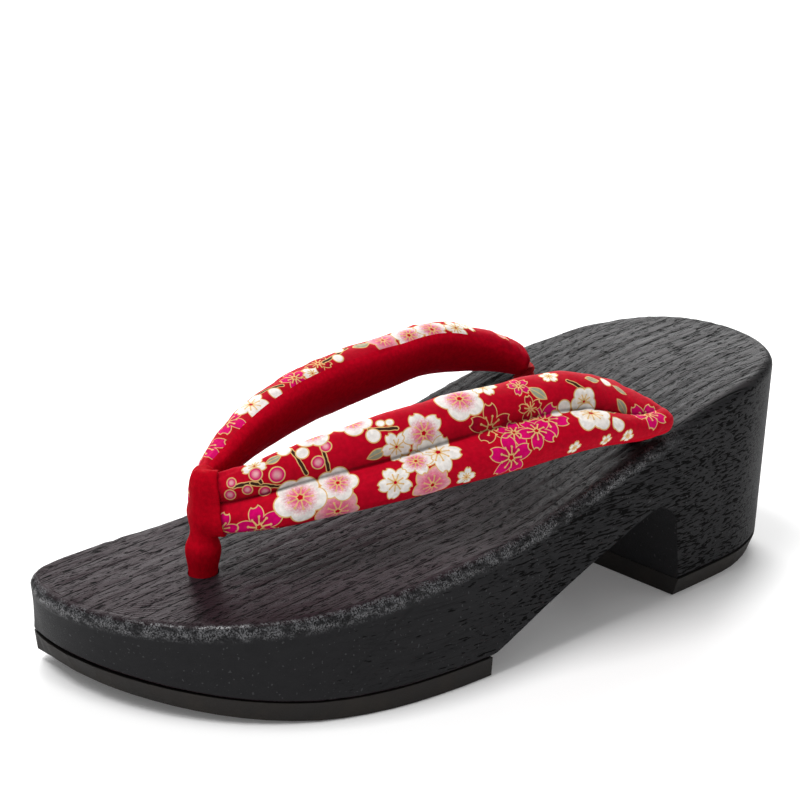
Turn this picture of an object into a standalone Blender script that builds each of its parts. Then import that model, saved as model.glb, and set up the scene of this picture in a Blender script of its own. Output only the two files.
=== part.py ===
"""Heeled wooden geta sandal for the left foot, with a padded V strap and a cloth toe post.

The toe points to -Y, the heel to +Y and up is +Z. The wearer's left, the little toe side, is +X.
The origin is on the floor, under the middle of the sandal's plan.
"""
import math

import bmesh
import bpy
from mathutils import Vector

# Driving sizes of the wooden base, in metres
LENGTH = 0.240
BALL_WIDTH = 0.0856
TOE_DECK_HEIGHT = 0.0261
HEEL_DECK_HEIGHT = 0.0617
RIM_RADIUS = 0.0028
TOE_ROUND = 0.040
HEEL_ROUND = 0.034
TOE_WALL_SLANT = 0.0032
SIDE_WALL_FLARE = 0.0010
HEEL_WALL_SLANT = 0.0022
FOOT_CHAMFER = 0.0006
TOE_SPRING = 0.0045
TOE_SPRING_LENGTH = 0.055

# Arch between the forefoot platform and the heel
ARCH_START = 0.0978
ARCH_HIGH_POINT = 0.1640
ARCH_TOP = 0.0308
ARCH_CORNER_RADIUS = 0.0105
HEEL_START = 0.1790
HEEL_FRONT_SLANT = 0.0022

# Rubber soles under the forefoot and the heel
RUBBER = 0.0054
FOREFOOT_UNDERCUT = 0.0004
TOE_UNDERCUT = 0.0030
HEEL_UNDERCUT = 0.0020
GAP = 0.0003

# Holes for the straps, and the pockets for the knots under them
TOE_HOLE_ALONG = 0.0375
TOE_HOLE_ACROSS = -0.0035
HEEL_HOLE_ALONG = 0.1675
INNER_HOLE_BACK = 0.0040
HEEL_HOLE_SPREAD = 0.0240
HEEL_HOLE_ACROSS = 0.0035
CORD_RADIUS = 0.0028
CORD_CLEARANCE = 0.0006
STRAP_CORD_RISE = 0.0045
POCKET_RADIUS = 0.0090
TOE_POCKET_DEPTH = 0.0100
HEEL_POCKET_DEPTH = 0.0070
KNOT_RADIUS = 0.0070
KNOT_HEIGHT = 0.0060

# Padded strap, and the cloth of the toe post wrapped round its fold
STRAP_WIDTH = 0.0250
STRAP_THICKNESS = 0.0132
CREASE_DEPTH = 0.0028
CREASE_WIDTH = 0.0046
STRAP_SQUARENESS = 0.80
WRAP_WALL = 0.0011
WRAP_REACH = 0.0090

# Stem of the toe post, from the deck up
POST_BASE_RADIUS = 0.0040
POST_BULGE_RADIUS = 0.0049
POST_BULGE_HEIGHT = 0.0068
POST_NECK_RADIUS = 0.0036
POST_NECK_HEIGHT = 0.0112

# Numbers of sections and points
PLAN_STEPS = 44
RIM_STEPS = 3
STRAP_SECTIONS = 46
STRAP_POINTS = 24
ROUND_POINTS = 24

# Plan of the deck: along as a share of LENGTH, half width and offset of the middle line
# towards the little toe as shares of BALL_WIDTH
PLAN = (
    # along, half width, offset
    (0.000, 0.520, -0.225),
    (0.021, 0.503, -0.194),
    (0.042, 0.480, -0.153),
    (0.083, 0.456, -0.084),
    (0.125, 0.453, -0.033),
    (0.188, 0.472, 0.019),
    (0.250, 0.488, 0.044),
    (0.333, 0.498, 0.049),
    (0.417, 0.500, 0.035),
    (0.500, 0.498, 0.018),
    (0.583, 0.492, 0.011),
    (0.667, 0.483, 0.012),
    (0.750, 0.466, 0.014),
    (0.833, 0.436, 0.013),
    (0.917, 0.408, 0.006),
    (1.000, 0.446, -0.008),
)

# Height of the deck: along as a share of LENGTH, rise as a share of the way from
# TOE_DECK_HEIGHT to HEEL_DECK_HEIGHT
DECK = (
    # along, rise
    (0.000, 0.000),
    (0.167, 0.104),
    (0.333, 0.219),
    (0.500, 0.362),
    (0.580, 0.505),
    (0.667, 0.669),
    (0.750, 0.806),
    (0.833, 0.902),
    (1.000, 1.000),
)

# One arm of the strap, from the fold at the toe post (share 0) to its end at the heel hole:
# along from hole to hole, spread from the middle line as a share of HEEL_HOLE_SPREAD, lift of
# the middle above the deck as a share of STRAP_WIDTH, width and thickness as shares of the
# strap's sizes, the lean of its width from level, in degrees, and the crease's place on its
# printed face as a share of half its width, towards the lower edge
ARM = (
    # share, along, spread, lift, width, thickness, lean, crease
    (0.000, -0.006, 0.00, 0.80, 0.62, 0.35, 90.0, 0.00),
    (0.036, 0.014, 0.15, 0.80, 0.63, 0.40, 84.0, -0.02),
    (0.123, 0.075, 0.46, 0.87, 0.74, 0.72, 64.0, 0.00),
    (0.227, 0.178, 0.75, 0.98, 0.86, 0.88, 56.0, 0.05),
    (0.361, 0.324, 1.02, 1.05, 0.96, 0.98, 52.0, 0.08),
    (0.490, 0.477, 1.18, 1.07, 1.00, 1.00, 48.0, 0.07),
    (0.617, 0.630, 1.28, 1.00, 1.00, 1.00, 44.0, 0.04),
    (0.743, 0.780, 1.34, 0.82, 0.98, 0.96, 37.0, 0.12),
    (0.844, 0.890, 1.31, 0.54, 0.94, 0.88, 26.0, 0.34),
    (0.925, 0.962, 1.26, 0.33, 0.90, 0.78, 14.0, 0.50),
    (0.975, 1.003, 1.21, 0.19, 0.76, 0.60, 4.0, 0.50),
    (1.000, 1.022, 1.18, 0.11, 0.34, 0.28, 0.0, 0.40),
)
STRAP = tuple((-row[0], row[1], -row[2]) + row[3:] for row in ARM[:0:-1]) + ARM


def blend(table, column, position):
    """Smooth value of one column of a table at a position in its first column."""
    at = [row[0] for row in table]
    value = [row[column] for row in table]
    last = len(at) - 1
    place = min(max(position, at[0]), at[last])
    left = max(i for i in range(last) if at[i] <= place or i == 0)
    slope = [(value[i + 1] - value[i]) / (at[i + 1] - at[i]) for i in range(last)]

    def tangent(i):
        if i in (0, last):
            return slope[min(i, last - 1)]
        before = at[i] - at[i - 1]
        after = at[i + 1] - at[i]
        return (slope[i - 1] * after + slope[i] * before) / (before + after)

    span = at[left + 1] - at[left]
    t = (place - at[left]) / span
    start = (2 * t ** 3 - 3 * t ** 2 + 1) * value[left] + (t ** 3 - 2 * t ** 2 + t) * span * tangent(left)
    end = (3 * t ** 2 - 2 * t ** 3) * value[left + 1] + (t ** 3 - t ** 2) * span * tangent(left + 1)
    return start + end


def ease(share):
    """Smooth step from 0 to 1."""
    t = min(max(share, 0.0), 1.0)
    return t * t * (3 - 2 * t)


def deck_height(y):
    """Height of the deck at a place along the sandal, counted from the toe."""
    rise = blend(DECK, 1, y / LENGTH)
    return TOE_DECK_HEIGHT + rise * (HEEL_DECK_HEIGHT - TOE_DECK_HEIGHT)


def toe_spring(y):
    """How far the bottom lifts off the floor towards the toe."""
    return TOE_SPRING * max(0.0, 1 - y / TOE_SPRING_LENGTH) ** 2


def half_width(y):
    """Half width of the deck, rounded at the toe and at the heel."""
    width = BALL_WIDTH * blend(PLAN, 1, y / LENGTH)
    toe = min(max(1 - y / TOE_ROUND, 0.0), 1.0)
    heel = min(max(1 - (LENGTH - y) / HEEL_ROUND, 0.0), 1.0)
    return width * math.sqrt(max(0.0, 1 - toe ** 2)) * math.sqrt(max(0.0, 1 - heel ** 2))


def plan_edge(y, side):
    """Point of the deck's edge, side 1 for the little toe side and -1 for the big toe side."""
    middle = BALL_WIDTH * blend(PLAN, 2, y / LENGTH)
    return Vector((middle + side * half_width(y), y))


STATIONS = [LENGTH * (1 - math.cos(math.pi * i / PLAN_STEPS)) / 2 for i in range(PLAN_STEPS + 1)]


def stations(start, end):
    """Places along the sandal from start to end, close together at the round ends."""
    between = [y for y in STATIONS if start + 0.001 < y < end - 0.001]
    return [start] + between + [end]


def edge_normal(y, side):
    """Outward direction of the deck's edge in plan."""
    if y <= 0.0:
        return Vector((0.0, -1.0))
    if y >= LENGTH:
        return Vector((0.0, 1.0))
    step = min(0.0005, y / 2, (LENGTH - y) / 2)
    along = plan_edge(y + step, side) - plan_edge(y - step, side)
    return Vector((along.y * side, -along.x * side)).normalized()


def wall_inset(y, normal):
    """How far the foot of the wall stands inside the deck's edge."""
    heelward = ease((y - ARCH_START) / (HEEL_START - ARCH_START))
    side = -SIDE_WALL_FLARE * (1 - heelward) + HEEL_WALL_SLANT * heelward
    toe = max(0.0, -normal.y) ** 2
    return side * (1 - toe) + TOE_WALL_SLANT * toe


def plan_ring(start, end, inset):
    """Ring of plan points from the toe to the heel on one side and back on the other.

    inset(y, normal) says how far each point moves in, square to the edge.
    """
    places = stations(start, end)
    ring = []
    for side, order in ((1, places), (-1, places[::-1])):
        for y in order:
            if side == -1 and y in (0.0, LENGTH):
                continue
            normal = edge_normal(y, side)
            point = plan_edge(y, side) - normal * inset(y, normal)
            if start < y < end or y in (0.0, LENGTH):
                ring.append(point)
            else:
                ring.append(Vector((point.x, y)))
    return ring


def rung_pairs(start, end):
    """Index pairs across a plan ring, one for each place along it."""
    count = len(stations(start, end))
    first = 1 if start <= 0.0 else 0
    last = 1 if end >= LENGTH else 0
    total = 2 * count - first - last
    return [(i, (total - i - (1 - first)) % total) for i in range(count)], total


def add_object(name, mesh, material, collection):
    """Object of a mesh with one material, in a collection."""
    made = bpy.data.objects.new(name, mesh)
    mesh.materials.append(material)
    collection.objects.link(made)
    return made


def finish_mesh(work, name, crease_angle):
    """Mesh data of a bmesh, shaded smooth with sharp edges past an angle in degrees."""
    bmesh.ops.remove_doubles(work, verts=work.verts, dist=0.00001)
    bmesh.ops.recalc_face_normals(work, faces=work.faces)
    mesh = bpy.data.meshes.new(name)
    work.to_mesh(mesh)
    work.free()
    mesh.shade_smooth()
    mesh.set_sharp_from_angle(angle=math.radians(crease_angle))
    return mesh


def stacked_mesh(name, start, end, rings):
    """Closed mesh from plan rings stacked from the bottom up, its faces capped by rungs."""
    work = bmesh.new()
    levels = [[work.verts.new(point) for point in ring] for ring in rings]
    pairs, total = rung_pairs(start, end)
    for low, high in zip(levels, levels[1:]):
        for i in range(total):
            j = (i + 1) % total
            work.faces.new((low[i], low[j], high[j], high[i]))
    for level in (levels[0], levels[-1]):
        for (a, b), (c, d) in zip(pairs, pairs[1:]):
            corners = []
            for index in (a, c, d, b):
                if index not in corners:
                    corners.append(index)
            work.faces.new([level[index] for index in corners])
    return finish_mesh(work, name, 32)


def lifted(ring, height, shift):
    """Ring in space: height(y) gives z, and shift is the plan's middle across."""
    return [Vector((p.x - shift, p.y - LENGTH / 2, height(p.y))) for p in ring]


def base_mesh(shift):
    """Block of the wooden base before the arch is cut, with its rounded rim."""

    def foot(y):
        return RUBBER + GAP + toe_spring(y)

    layers = [(lambda y, n: wall_inset(y, n) + FOOT_CHAMFER, foot),
              (wall_inset, lambda y: foot(y) + FOOT_CHAMFER)]
    for step in range(RIM_STEPS + 1):
        turn = 0.5 * math.pi * step / RIM_STEPS
        inset = RIM_RADIUS * (1 - math.cos(turn))
        drop = RIM_RADIUS * (1 - math.sin(turn))
        layers.append((lambda y, n, inset=inset: inset, lambda y, drop=drop: deck_height(y) - drop))
    rings = [lifted(plan_ring(0.0, LENGTH, inset), height, shift) for inset, height in layers]
    return stacked_mesh("wooden_base", 0.0, LENGTH, rings)


def rubber_mesh(name, start, end, undercut, shift):
    """Rubber sole between two places along the sandal, in line with the foot of the wall."""
    layers = ((lambda y, n: wall_inset(y, n) + undercut + TOE_UNDERCUT * max(0.0, -n.y) ** 2, toe_spring),
              (wall_inset, lambda y: RUBBER + toe_spring(y)))
    rings = [lifted(plan_ring(start, end, inset), height, shift) for inset, height in layers]
    return stacked_mesh(name, start, end, rings)


def side_profile_cutter(name, points, width, collection):
    """Prism across the sandal from a closed outline of (y, z) points."""
    work = bmesh.new()
    rows = [[work.verts.new((x, y, z)) for y, z in points] for x in (-width, width)]
    count = len(points)
    for i in range(count):
        j = (i + 1) % count
        work.faces.new((rows[0][i], rows[0][j], rows[1][j], rows[1][i]))
    for row in rows:
        work.faces.new(row)
    return hide_cutter(bpy.data.objects.new(name, finish_mesh(work, name, 30)), collection)


def hide_cutter(cutter, collection):
    """Cutter shown as wires, left out of renders."""
    collection.objects.link(cutter)
    cutter.hide_render = True
    cutter.display_type = "WIRE"
    return cutter


def arch_outline():
    """Outline of the arch: straight up from the forefoot, round a corner, down the heel."""
    floor = -RUBBER
    foot = RUBBER + GAP
    wall_top = HEEL_START - HEEL_FRONT_SLANT
    centre = Vector((wall_top - ARCH_CORNER_RADIUS, ARCH_TOP - ARCH_CORNER_RADIUS))
    slope = math.atan2(ARCH_TOP - foot, ARCH_HIGH_POINT - ARCH_START)
    points = [(ARCH_START, floor), (ARCH_START, foot)]
    for step in range(7):
        turn = math.pi / 2 + slope - (math.pi / 2 + slope) * step / 6
        points.append((centre.x + ARCH_CORNER_RADIUS * math.cos(turn),
                       centre.y + ARCH_CORNER_RADIUS * math.sin(turn)))
    points.append((HEEL_START, foot))
    points.append((HEEL_START, floor))
    return [(y - LENGTH / 2, z) for y, z in points]


def round_cutter(name, radius, low, high, x, y, collection):
    """Upright cylinder that cuts a hole or a pocket."""
    work = bmesh.new()
    bmesh.ops.create_cone(work, cap_ends=True, segments=ROUND_POINTS, radius1=radius, radius2=radius,
                          depth=high - low)
    bmesh.ops.translate(work, verts=work.verts, vec=(x, y - LENGTH / 2, (low + high) / 2))
    return hide_cutter(bpy.data.objects.new(name, finish_mesh(work, name, 30)), collection)


def combine(target, pieces, operation):
    """Boolean modifiers on an object, one for each piece; a tight fold may run into itself."""
    for piece in pieces:
        boolean = target.modifiers.new(piece.name, "BOOLEAN")
        boolean.operation = operation
        boolean.object = piece
        boolean.solver = "EXACT"
        boolean.use_self = True


def heel_hole(side):
    """Place of a heel hole in plan, side 1 for the little toe side and -1 for the big toe side."""
    return Vector((HEEL_HOLE_ACROSS + side * HEEL_HOLE_SPREAD,
                   HEEL_HOLE_ALONG + (INNER_HOLE_BACK if side < 0 else 0.0)))


def strap_place(share):
    """Middle of the strap at a share of its length, -1 at the big toe side's end and 1 at the other."""
    run = blend(STRAP, 1, share)
    spread = HEEL_HOLE_SPREAD * blend(STRAP, 2, share)
    y = TOE_HOLE_ALONG + run * (heel_hole(math.copysign(1.0, share)).y - TOE_HOLE_ALONG)
    middle = TOE_HOLE_ACROSS + run * (HEEL_HOLE_ACROSS - TOE_HOLE_ACROSS)
    return Vector((middle + spread, y, deck_height(y) + STRAP_WIDTH * blend(STRAP, 3, share)))


def strap_section(share, grow):
    """Closed section of the strap, its printed face creased, with the wall grown by a thickness."""
    centre = strap_place(share)
    ahead = strap_place(min(share + 0.004, 1.0)) - strap_place(max(share - 0.004, -1.0))
    forward = ahead.normalized()
    level = Vector((forward.x, forward.y, 0.0)).normalized()
    outward = level.cross(Vector((0.0, 0.0, 1.0)))
    lean = math.radians(blend(STRAP, 6, share))
    edge = outward * math.cos(lean) - Vector((0.0, 0.0, math.sin(lean)))
    edge = (edge - forward * edge.dot(forward)).normalized()
    face = edge.cross(forward)
    width = STRAP_WIDTH * blend(STRAP, 4, share) / 2 + grow
    thickness = STRAP_THICKNESS * blend(STRAP, 5, share) / 2 + grow
    crease = CREASE_DEPTH * blend(STRAP, 5, share)
    crease_place = width * blend(STRAP, 7, share)
    section = []
    for k in range(STRAP_POINTS):
        turn = 2 * math.pi * k / STRAP_POINTS
        across = math.copysign(abs(math.cos(turn)) ** STRAP_SQUARENESS, math.cos(turn)) * width
        out = math.copysign(abs(math.sin(turn)) ** STRAP_SQUARENESS, math.sin(turn)) * thickness
        if out > 0:
            out -= crease * math.exp(-((across - crease_place) / CREASE_WIDTH) ** 2)
        section.append(centre + edge * across + face * out)
    return section


def strap_shares(reach):
    """Shares of the strap's length at which it has a section, closer together at the fold."""
    half = STRAP_SECTIONS // 2
    every = [math.copysign(abs(i / half) ** 1.5, i) for i in range(-half, half + 1)]
    return [share for share in every if abs(share) <= reach]


def strap_mesh(name, reach, grow, shift):
    """Closed mesh of the strap as far as a share of its length each way from the fold."""
    work = bmesh.new()
    rows = []
    for share in strap_shares(reach):
        section = strap_section(share, grow)
        rows.append([work.verts.new((p.x - shift, p.y - LENGTH / 2, p.z)) for p in section])
    for low, high in zip(rows, rows[1:]):
        for k in range(STRAP_POINTS):
            j = (k + 1) % STRAP_POINTS
            work.faces.new((low[k], low[j], high[j], high[k]))
    work.faces.new(rows[0])
    work.faces.new(rows[-1])
    return finish_mesh(work, name, 50)


def turned_mesh(name, profile, x, y):
    """Turned solid from (radius, z) points, listed from the top down."""
    mesh = bpy.data.meshes.new(name)
    count = len(profile)
    mesh.from_pydata([(radius, 0.0, z) for radius, z in profile],
                     [(i, i + 1) for i in range(count - 1)], [])
    made = bpy.data.objects.new(name, mesh)
    bpy.context.scene.collection.objects.link(made)
    screw = made.modifiers.new("Turn", "SCREW")
    screw.steps = ROUND_POINTS
    screw.render_steps = ROUND_POINTS
    screw.use_merge_vertices = True
    screw.merge_threshold = 0.00001
    evaluated = made.evaluated_get(bpy.context.evaluated_depsgraph_get())
    turned = bpy.data.meshes.new_from_object(evaluated)
    bpy.data.objects.remove(made)
    work = bmesh.new()
    work.from_mesh(turned)
    bmesh.ops.translate(work, verts=work.verts, vec=(x, y - LENGTH / 2, 0.0))
    return finish_mesh(work, name, 40)


def post_profile(low, high):
    """Radius and height down the toe post, from inside its wrap to its end over the knot."""
    deck = deck_height(TOE_HOLE_ALONG)
    rows = [(0.0, high), (POST_NECK_RADIUS, high)]
    steps = 10
    for i in range(steps + 1):
        height = POST_NECK_HEIGHT * (1 - i / steps)
        if height > POST_BULGE_HEIGHT:
            share = ease((POST_NECK_HEIGHT - height) / (POST_NECK_HEIGHT - POST_BULGE_HEIGHT))
            radius = POST_NECK_RADIUS + share * (POST_BULGE_RADIUS - POST_NECK_RADIUS)
        else:
            share = ease(1 - height / POST_BULGE_HEIGHT)
            radius = POST_BULGE_RADIUS + share * (POST_BASE_RADIUS - POST_BULGE_RADIUS)
        rows.append((radius, deck + height))
    rows.append((POST_BASE_RADIUS, low))
    rows.append((0.0, low))
    return rows


def knot_profile(top):
    """Round knot, flatter than a ball, hanging below a height."""
    middle = top - KNOT_HEIGHT / 2
    steps = 8
    rows = []
    for i in range(steps + 1):
        turn = math.pi * i / steps
        rows.append((KNOT_RADIUS * math.sin(turn) ** 0.8, middle + KNOT_HEIGHT / 2 * math.cos(turn)))
    rows[0] = (0.0, top)
    rows[-1] = (0.0, top - KNOT_HEIGHT)
    return rows


def principled(name, color, roughness):
    """Principled material with a plain colour."""
    material = bpy.data.materials.new(name)
    material.use_nodes = True
    shader = material.node_tree.nodes["Principled BSDF"]
    shader.inputs["Base Color"].default_value = (*color, 1.0)
    shader.inputs["Roughness"].default_value = roughness
    shader.inputs["Metallic"].default_value = 0.0
    return material


def arch_ceiling(y):
    """Height of the underside of the arch at a place along the sandal."""
    foot = RUBBER + GAP
    share = (y - ARCH_START) / (ARCH_HIGH_POINT - ARCH_START)
    return min(ARCH_TOP, foot + share * (ARCH_TOP - foot))


def build():
    """The whole sandal."""
    for old in list(bpy.data.objects):
        bpy.data.objects.remove(old, do_unlink=True)
    sandal = bpy.data.collections.new("geta_sandal")
    tools = bpy.data.collections.new("cutters")
    bpy.context.scene.collection.children.link(sandal)
    bpy.context.scene.collection.children.link(tools)
    edges = [plan_edge(y, side).x for y in STATIONS for side in (1, -1)]
    shift = (max(edges) + min(edges)) / 2

    wood = principled("black_wood", (0.018, 0.017, 0.017), 0.38)
    rubber = principled("sole_rubber", (0.030, 0.026, 0.025), 0.80)
    print_cloth = principled("printed_cotton", (0.50, 0.01, 0.03), 0.75)
    plain_cloth = principled("red_cloth", (0.52, 0.005, 0.015), 0.80)
    cord = principled("cord_cloth", (0.45, 0.01, 0.02), 0.85)

    hole_radius = CORD_RADIUS + CORD_CLEARANCE
    toe_x = TOE_HOLE_ACROSS - shift
    toe_ceiling = RUBBER + GAP + TOE_POCKET_DEPTH
    heel_sides = []
    for side, label in ((1, "outer"), (-1, "inner")):
        place = heel_hole(side)
        heel_sides.append((label, place.x - shift, place.y, arch_ceiling(place.y) + HEEL_POCKET_DEPTH))
    above = 2 * HEEL_DECK_HEIGHT
    below = -RUBBER

    base = add_object("wooden_base", base_mesh(shift), wood, sandal)
    toe_pocket = round_cutter("toe_pocket_cutter", POCKET_RADIUS, below, toe_ceiling, toe_x,
                              TOE_HOLE_ALONG, tools)
    cutters = [side_profile_cutter("arch_cutter", arch_outline(), BALL_WIDTH, tools), toe_pocket,
               round_cutter("toe_hole_cutter", POST_BASE_RADIUS + GAP, below, above, toe_x,
                            TOE_HOLE_ALONG, tools)]
    for label, x, y, ceiling in heel_sides:
        cutters.append(round_cutter(label + "_hole_cutter", hole_radius, below, above, x, y, tools))
        cutters.append(round_cutter(label + "_pocket_cutter", POCKET_RADIUS, RUBBER, ceiling, x, y, tools))
    combine(base, cutters, "DIFFERENCE")

    sole = rubber_mesh("forefoot_sole", 0.0, ARCH_START, FOREFOOT_UNDERCUT, shift)
    combine(add_object("forefoot_sole", sole, rubber, sandal), [toe_pocket], "DIFFERENCE")
    add_object("heel_cap", rubber_mesh("heel_cap", HEEL_START, LENGTH, HEEL_UNDERCUT, shift), rubber, sandal)

    strap = add_object("strap", strap_mesh("strap", 1.0, 0.0, shift), print_cloth, sandal)
    strap_cords = []
    for label, x, y, ceiling in heel_sides:
        top = deck_height(y) + STRAP_CORD_RISE
        strap_cords.append(round_cutter(label + "_strap_cord", CORD_RADIUS, ceiling, top, x, y, tools))
    combine(strap, strap_cords, "UNION")

    reach = WRAP_REACH / (HEEL_HOLE_ALONG - TOE_HOLE_ALONG)
    wrap = hide_cutter(bpy.data.objects.new("wrap", strap_mesh(
        "wrap", reach, WRAP_WALL + GAP, shift)), tools)
    channel = hide_cutter(bpy.data.objects.new("wrap_channel", strap_mesh(
        "wrap_channel", 2 * reach, GAP, shift)), tools)
    stem_top = deck_height(TOE_HOLE_ALONG) + POST_NECK_HEIGHT + 2 * WRAP_WALL
    stem = turned_mesh("toe_post", post_profile(toe_ceiling, stem_top), toe_x, TOE_HOLE_ALONG)
    post = add_object("toe_post", stem, plain_cloth, sandal)
    combine(post, [wrap], "UNION")
    combine(post, [channel], "DIFFERENCE")

    knots = heel_sides + [("toe", toe_x, TOE_HOLE_ALONG, toe_ceiling)]
    for label, x, y, ceiling in knots:
        name = label + "_knot"
        add_object(name, turned_mesh(name, knot_profile(ceiling - GAP), x, y), cord, sandal)


build()
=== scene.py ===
"""Looks of the geta sandal: brushed black wood, printed padded strap, cloth toe post, rubber."""
import math

import bmesh
import bpy
import numpy as np
from mathutils import Matrix, Vector, noise


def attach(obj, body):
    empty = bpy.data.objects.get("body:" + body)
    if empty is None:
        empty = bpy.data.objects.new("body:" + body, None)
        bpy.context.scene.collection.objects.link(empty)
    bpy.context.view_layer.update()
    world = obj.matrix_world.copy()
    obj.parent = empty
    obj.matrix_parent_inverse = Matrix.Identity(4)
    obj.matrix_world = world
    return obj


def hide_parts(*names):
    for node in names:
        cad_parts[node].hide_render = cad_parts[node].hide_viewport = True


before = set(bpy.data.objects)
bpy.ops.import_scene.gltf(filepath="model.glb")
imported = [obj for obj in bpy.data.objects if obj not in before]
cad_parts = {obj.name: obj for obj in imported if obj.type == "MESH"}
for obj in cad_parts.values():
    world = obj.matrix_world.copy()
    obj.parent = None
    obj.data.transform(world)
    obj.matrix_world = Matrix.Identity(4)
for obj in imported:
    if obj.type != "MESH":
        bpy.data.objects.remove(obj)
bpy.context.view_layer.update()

bl_info = {
    "name": "Geta sandal",
    "version": (1, 0, 0),
    "blender": (4, 5, 0),
    "location": "View3D > Sidebar > Geta",
    "description": "Builds the finished pieces of a heeled geta sandal around its frame",
    "category": "Object",
}

# Camera, in metres and degrees; lens and sensor in millimetres
CAMERA_TARGET = Vector((-0.0180, -0.0025, 0.0586))
CAMERA_DISTANCE = 0.866
CAMERA_AZIMUTH = 48.06
CAMERA_ELEVATION = 18.46
CAMERA_ROLL = 1.36
CAMERA_LENS = 136.9
CAMERA_SENSOR = 36.0

# Wooden base, the same sizes as the frame's
LENGTH = 0.240
BALL_WIDTH = 0.0856
PLAN_SHIFT = 0.0027746
TOE_DECK_HEIGHT = 0.0261
HEEL_DECK_HEIGHT = 0.0617
RIM_RADIUS = 0.0028
TOE_ROUND = 0.040
HEEL_ROUND = 0.034
TOE_WALL_SLANT = 0.0032
SIDE_WALL_FLARE = 0.0010
HEEL_WALL_SLANT = 0.0022
FOOT_CHAMFER = 0.0006
TOE_SPRING = 0.0045
TOE_SPRING_LENGTH = 0.055
ARCH_START = 0.0978
ARCH_HIGH_POINT = 0.1640
ARCH_TOP = 0.0308
ARCH_CORNER_RADIUS = 0.0105
HEEL_START = 0.1790
HEEL_FRONT_SLANT = 0.0022
RUBBER = 0.0054
GAP = 0.0003

# Holes, pockets and knots
TOE_HOLE_ALONG = 0.0375
TOE_HOLE_ACROSS = -0.0035
HEEL_HOLE_ALONG = 0.1675
INNER_HOLE_BACK = 0.0040
HEEL_HOLE_SPREAD = 0.0240
HEEL_HOLE_ACROSS = 0.0035
CORD_RADIUS = 0.0028
CORD_CLEARANCE = 0.0006
STRAP_CORD_RISE = 0.0045
POCKET_RADIUS = 0.0090
TOE_POCKET_DEPTH = 0.0100
HEEL_POCKET_DEPTH = 0.0070
POST_BASE_RADIUS = 0.0040

# Padded strap
STRAP_WIDTH = 0.0250
STRAP_THICKNESS = 0.0132
CREASE_DEPTH = 0.0028
CREASE_WIDTH = 0.0046
STRAP_SQUARENESS = 0.80

PLAN = (
    # along, half width, offset
    (0.000, 0.520, -0.225),
    (0.021, 0.503, -0.194),
    (0.042, 0.480, -0.153),
    (0.083, 0.456, -0.084),
    (0.125, 0.453, -0.033),
    (0.188, 0.472, 0.019),
    (0.250, 0.488, 0.044),
    (0.333, 0.498, 0.049),
    (0.417, 0.500, 0.035),
    (0.500, 0.498, 0.018),
    (0.583, 0.492, 0.011),
    (0.667, 0.483, 0.012),
    (0.750, 0.466, 0.014),
    (0.833, 0.436, 0.013),
    (0.917, 0.408, 0.006),
    (1.000, 0.446, -0.008),
)
DECK = (
    # along, rise
    (0.000, 0.000),
    (0.167, 0.104),
    (0.333, 0.219),
    (0.500, 0.362),
    (0.580, 0.505),
    (0.667, 0.669),
    (0.750, 0.806),
    (0.833, 0.902),
    (1.000, 1.000),
)
ARM = (
    # share, along, spread, lift, width, thickness, lean, crease
    (0.000, -0.006, 0.00, 0.80, 0.62, 0.35, 90.0, 0.00),
    (0.036, 0.014, 0.15, 0.80, 0.63, 0.40, 84.0, -0.02),
    (0.123, 0.075, 0.46, 0.87, 0.74, 0.72, 64.0, 0.00),
    (0.227, 0.178, 0.75, 0.98, 0.86, 0.88, 56.0, 0.05),
    (0.361, 0.324, 1.02, 1.05, 0.96, 0.98, 52.0, 0.08),
    (0.490, 0.477, 1.18, 1.07, 1.00, 1.00, 48.0, 0.07),
    (0.617, 0.630, 1.28, 1.00, 1.00, 1.00, 44.0, 0.04),
    (0.743, 0.780, 1.34, 0.82, 0.98, 0.96, 37.0, 0.12),
    (0.844, 0.890, 1.31, 0.54, 0.94, 0.88, 26.0, 0.34),
    (0.925, 0.962, 1.26, 0.33, 0.90, 0.78, 14.0, 0.50),
    (0.975, 1.003, 1.21, 0.19, 0.76, 0.60, 4.0, 0.50),
    (1.000, 1.022, 1.18, 0.11, 0.34, 0.28, 0.0, 0.40),
)
STRAP = tuple((-row[0], row[1], -row[2]) + row[3:] for row in ARM[:0:-1]) + ARM

# Colours of the print, in linear light
PRINT_COLORS = {
    "red": (0.500, 0.000, 0.015),
    "deep": (0.330, 0.000, 0.020),
    "white": (0.900, 0.850, 0.810),
    "cream": (0.840, 0.690, 0.500),
    "blush": (0.800, 0.380, 0.420),
    "pink": (0.760, 0.120, 0.240),
    "rose": (0.480, 0.000, 0.050),
    "magenta": (0.690, 0.000, 0.140),
    "gold": (0.760, 0.490, 0.190),
    "bark": (0.045, 0.020, 0.012),
    "leaf": (0.330, 0.360, 0.270),
}


class BaseSettings(bpy.types.PropertyGroup):
    """Sizes and colours of the brushed wood."""

    pore_depth: bpy.props.FloatProperty(
        name="Pore depth", description="How deep the brush has opened the pores", default=0.00012,
        unit="LENGTH")
    ring_depth: bpy.props.FloatProperty(
        name="Ring depth", description="How far the soft wood between growth rings is brushed away",
        default=0.00016, unit="LENGTH")
    ring_spacing: bpy.props.FloatProperty(
        name="Ring spacing", description="Distance between growth rings", default=0.0048, unit="LENGTH")
    lacquer: bpy.props.FloatVectorProperty(
        name="Lacquer", description="Colour of the lacquered wood", size=3, subtype="COLOR",
        default=(0.0165, 0.0162, 0.0172))
    worn: bpy.props.FloatVectorProperty(
        name="Worn", description="Colour of the raised hard grain", size=3, subtype="COLOR",
        default=(0.034, 0.031, 0.032))
    # Painted reflection: the red strap's reflection, painted as a maroon tint on the deck under the
    # forefoot
    forefoot: bpy.props.FloatVectorProperty(
        name="Forefoot", description="Warmer colour of the deck under the forefoot", size=3,
        subtype="COLOR", default=(0.024, 0.012, 0.016))


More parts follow.
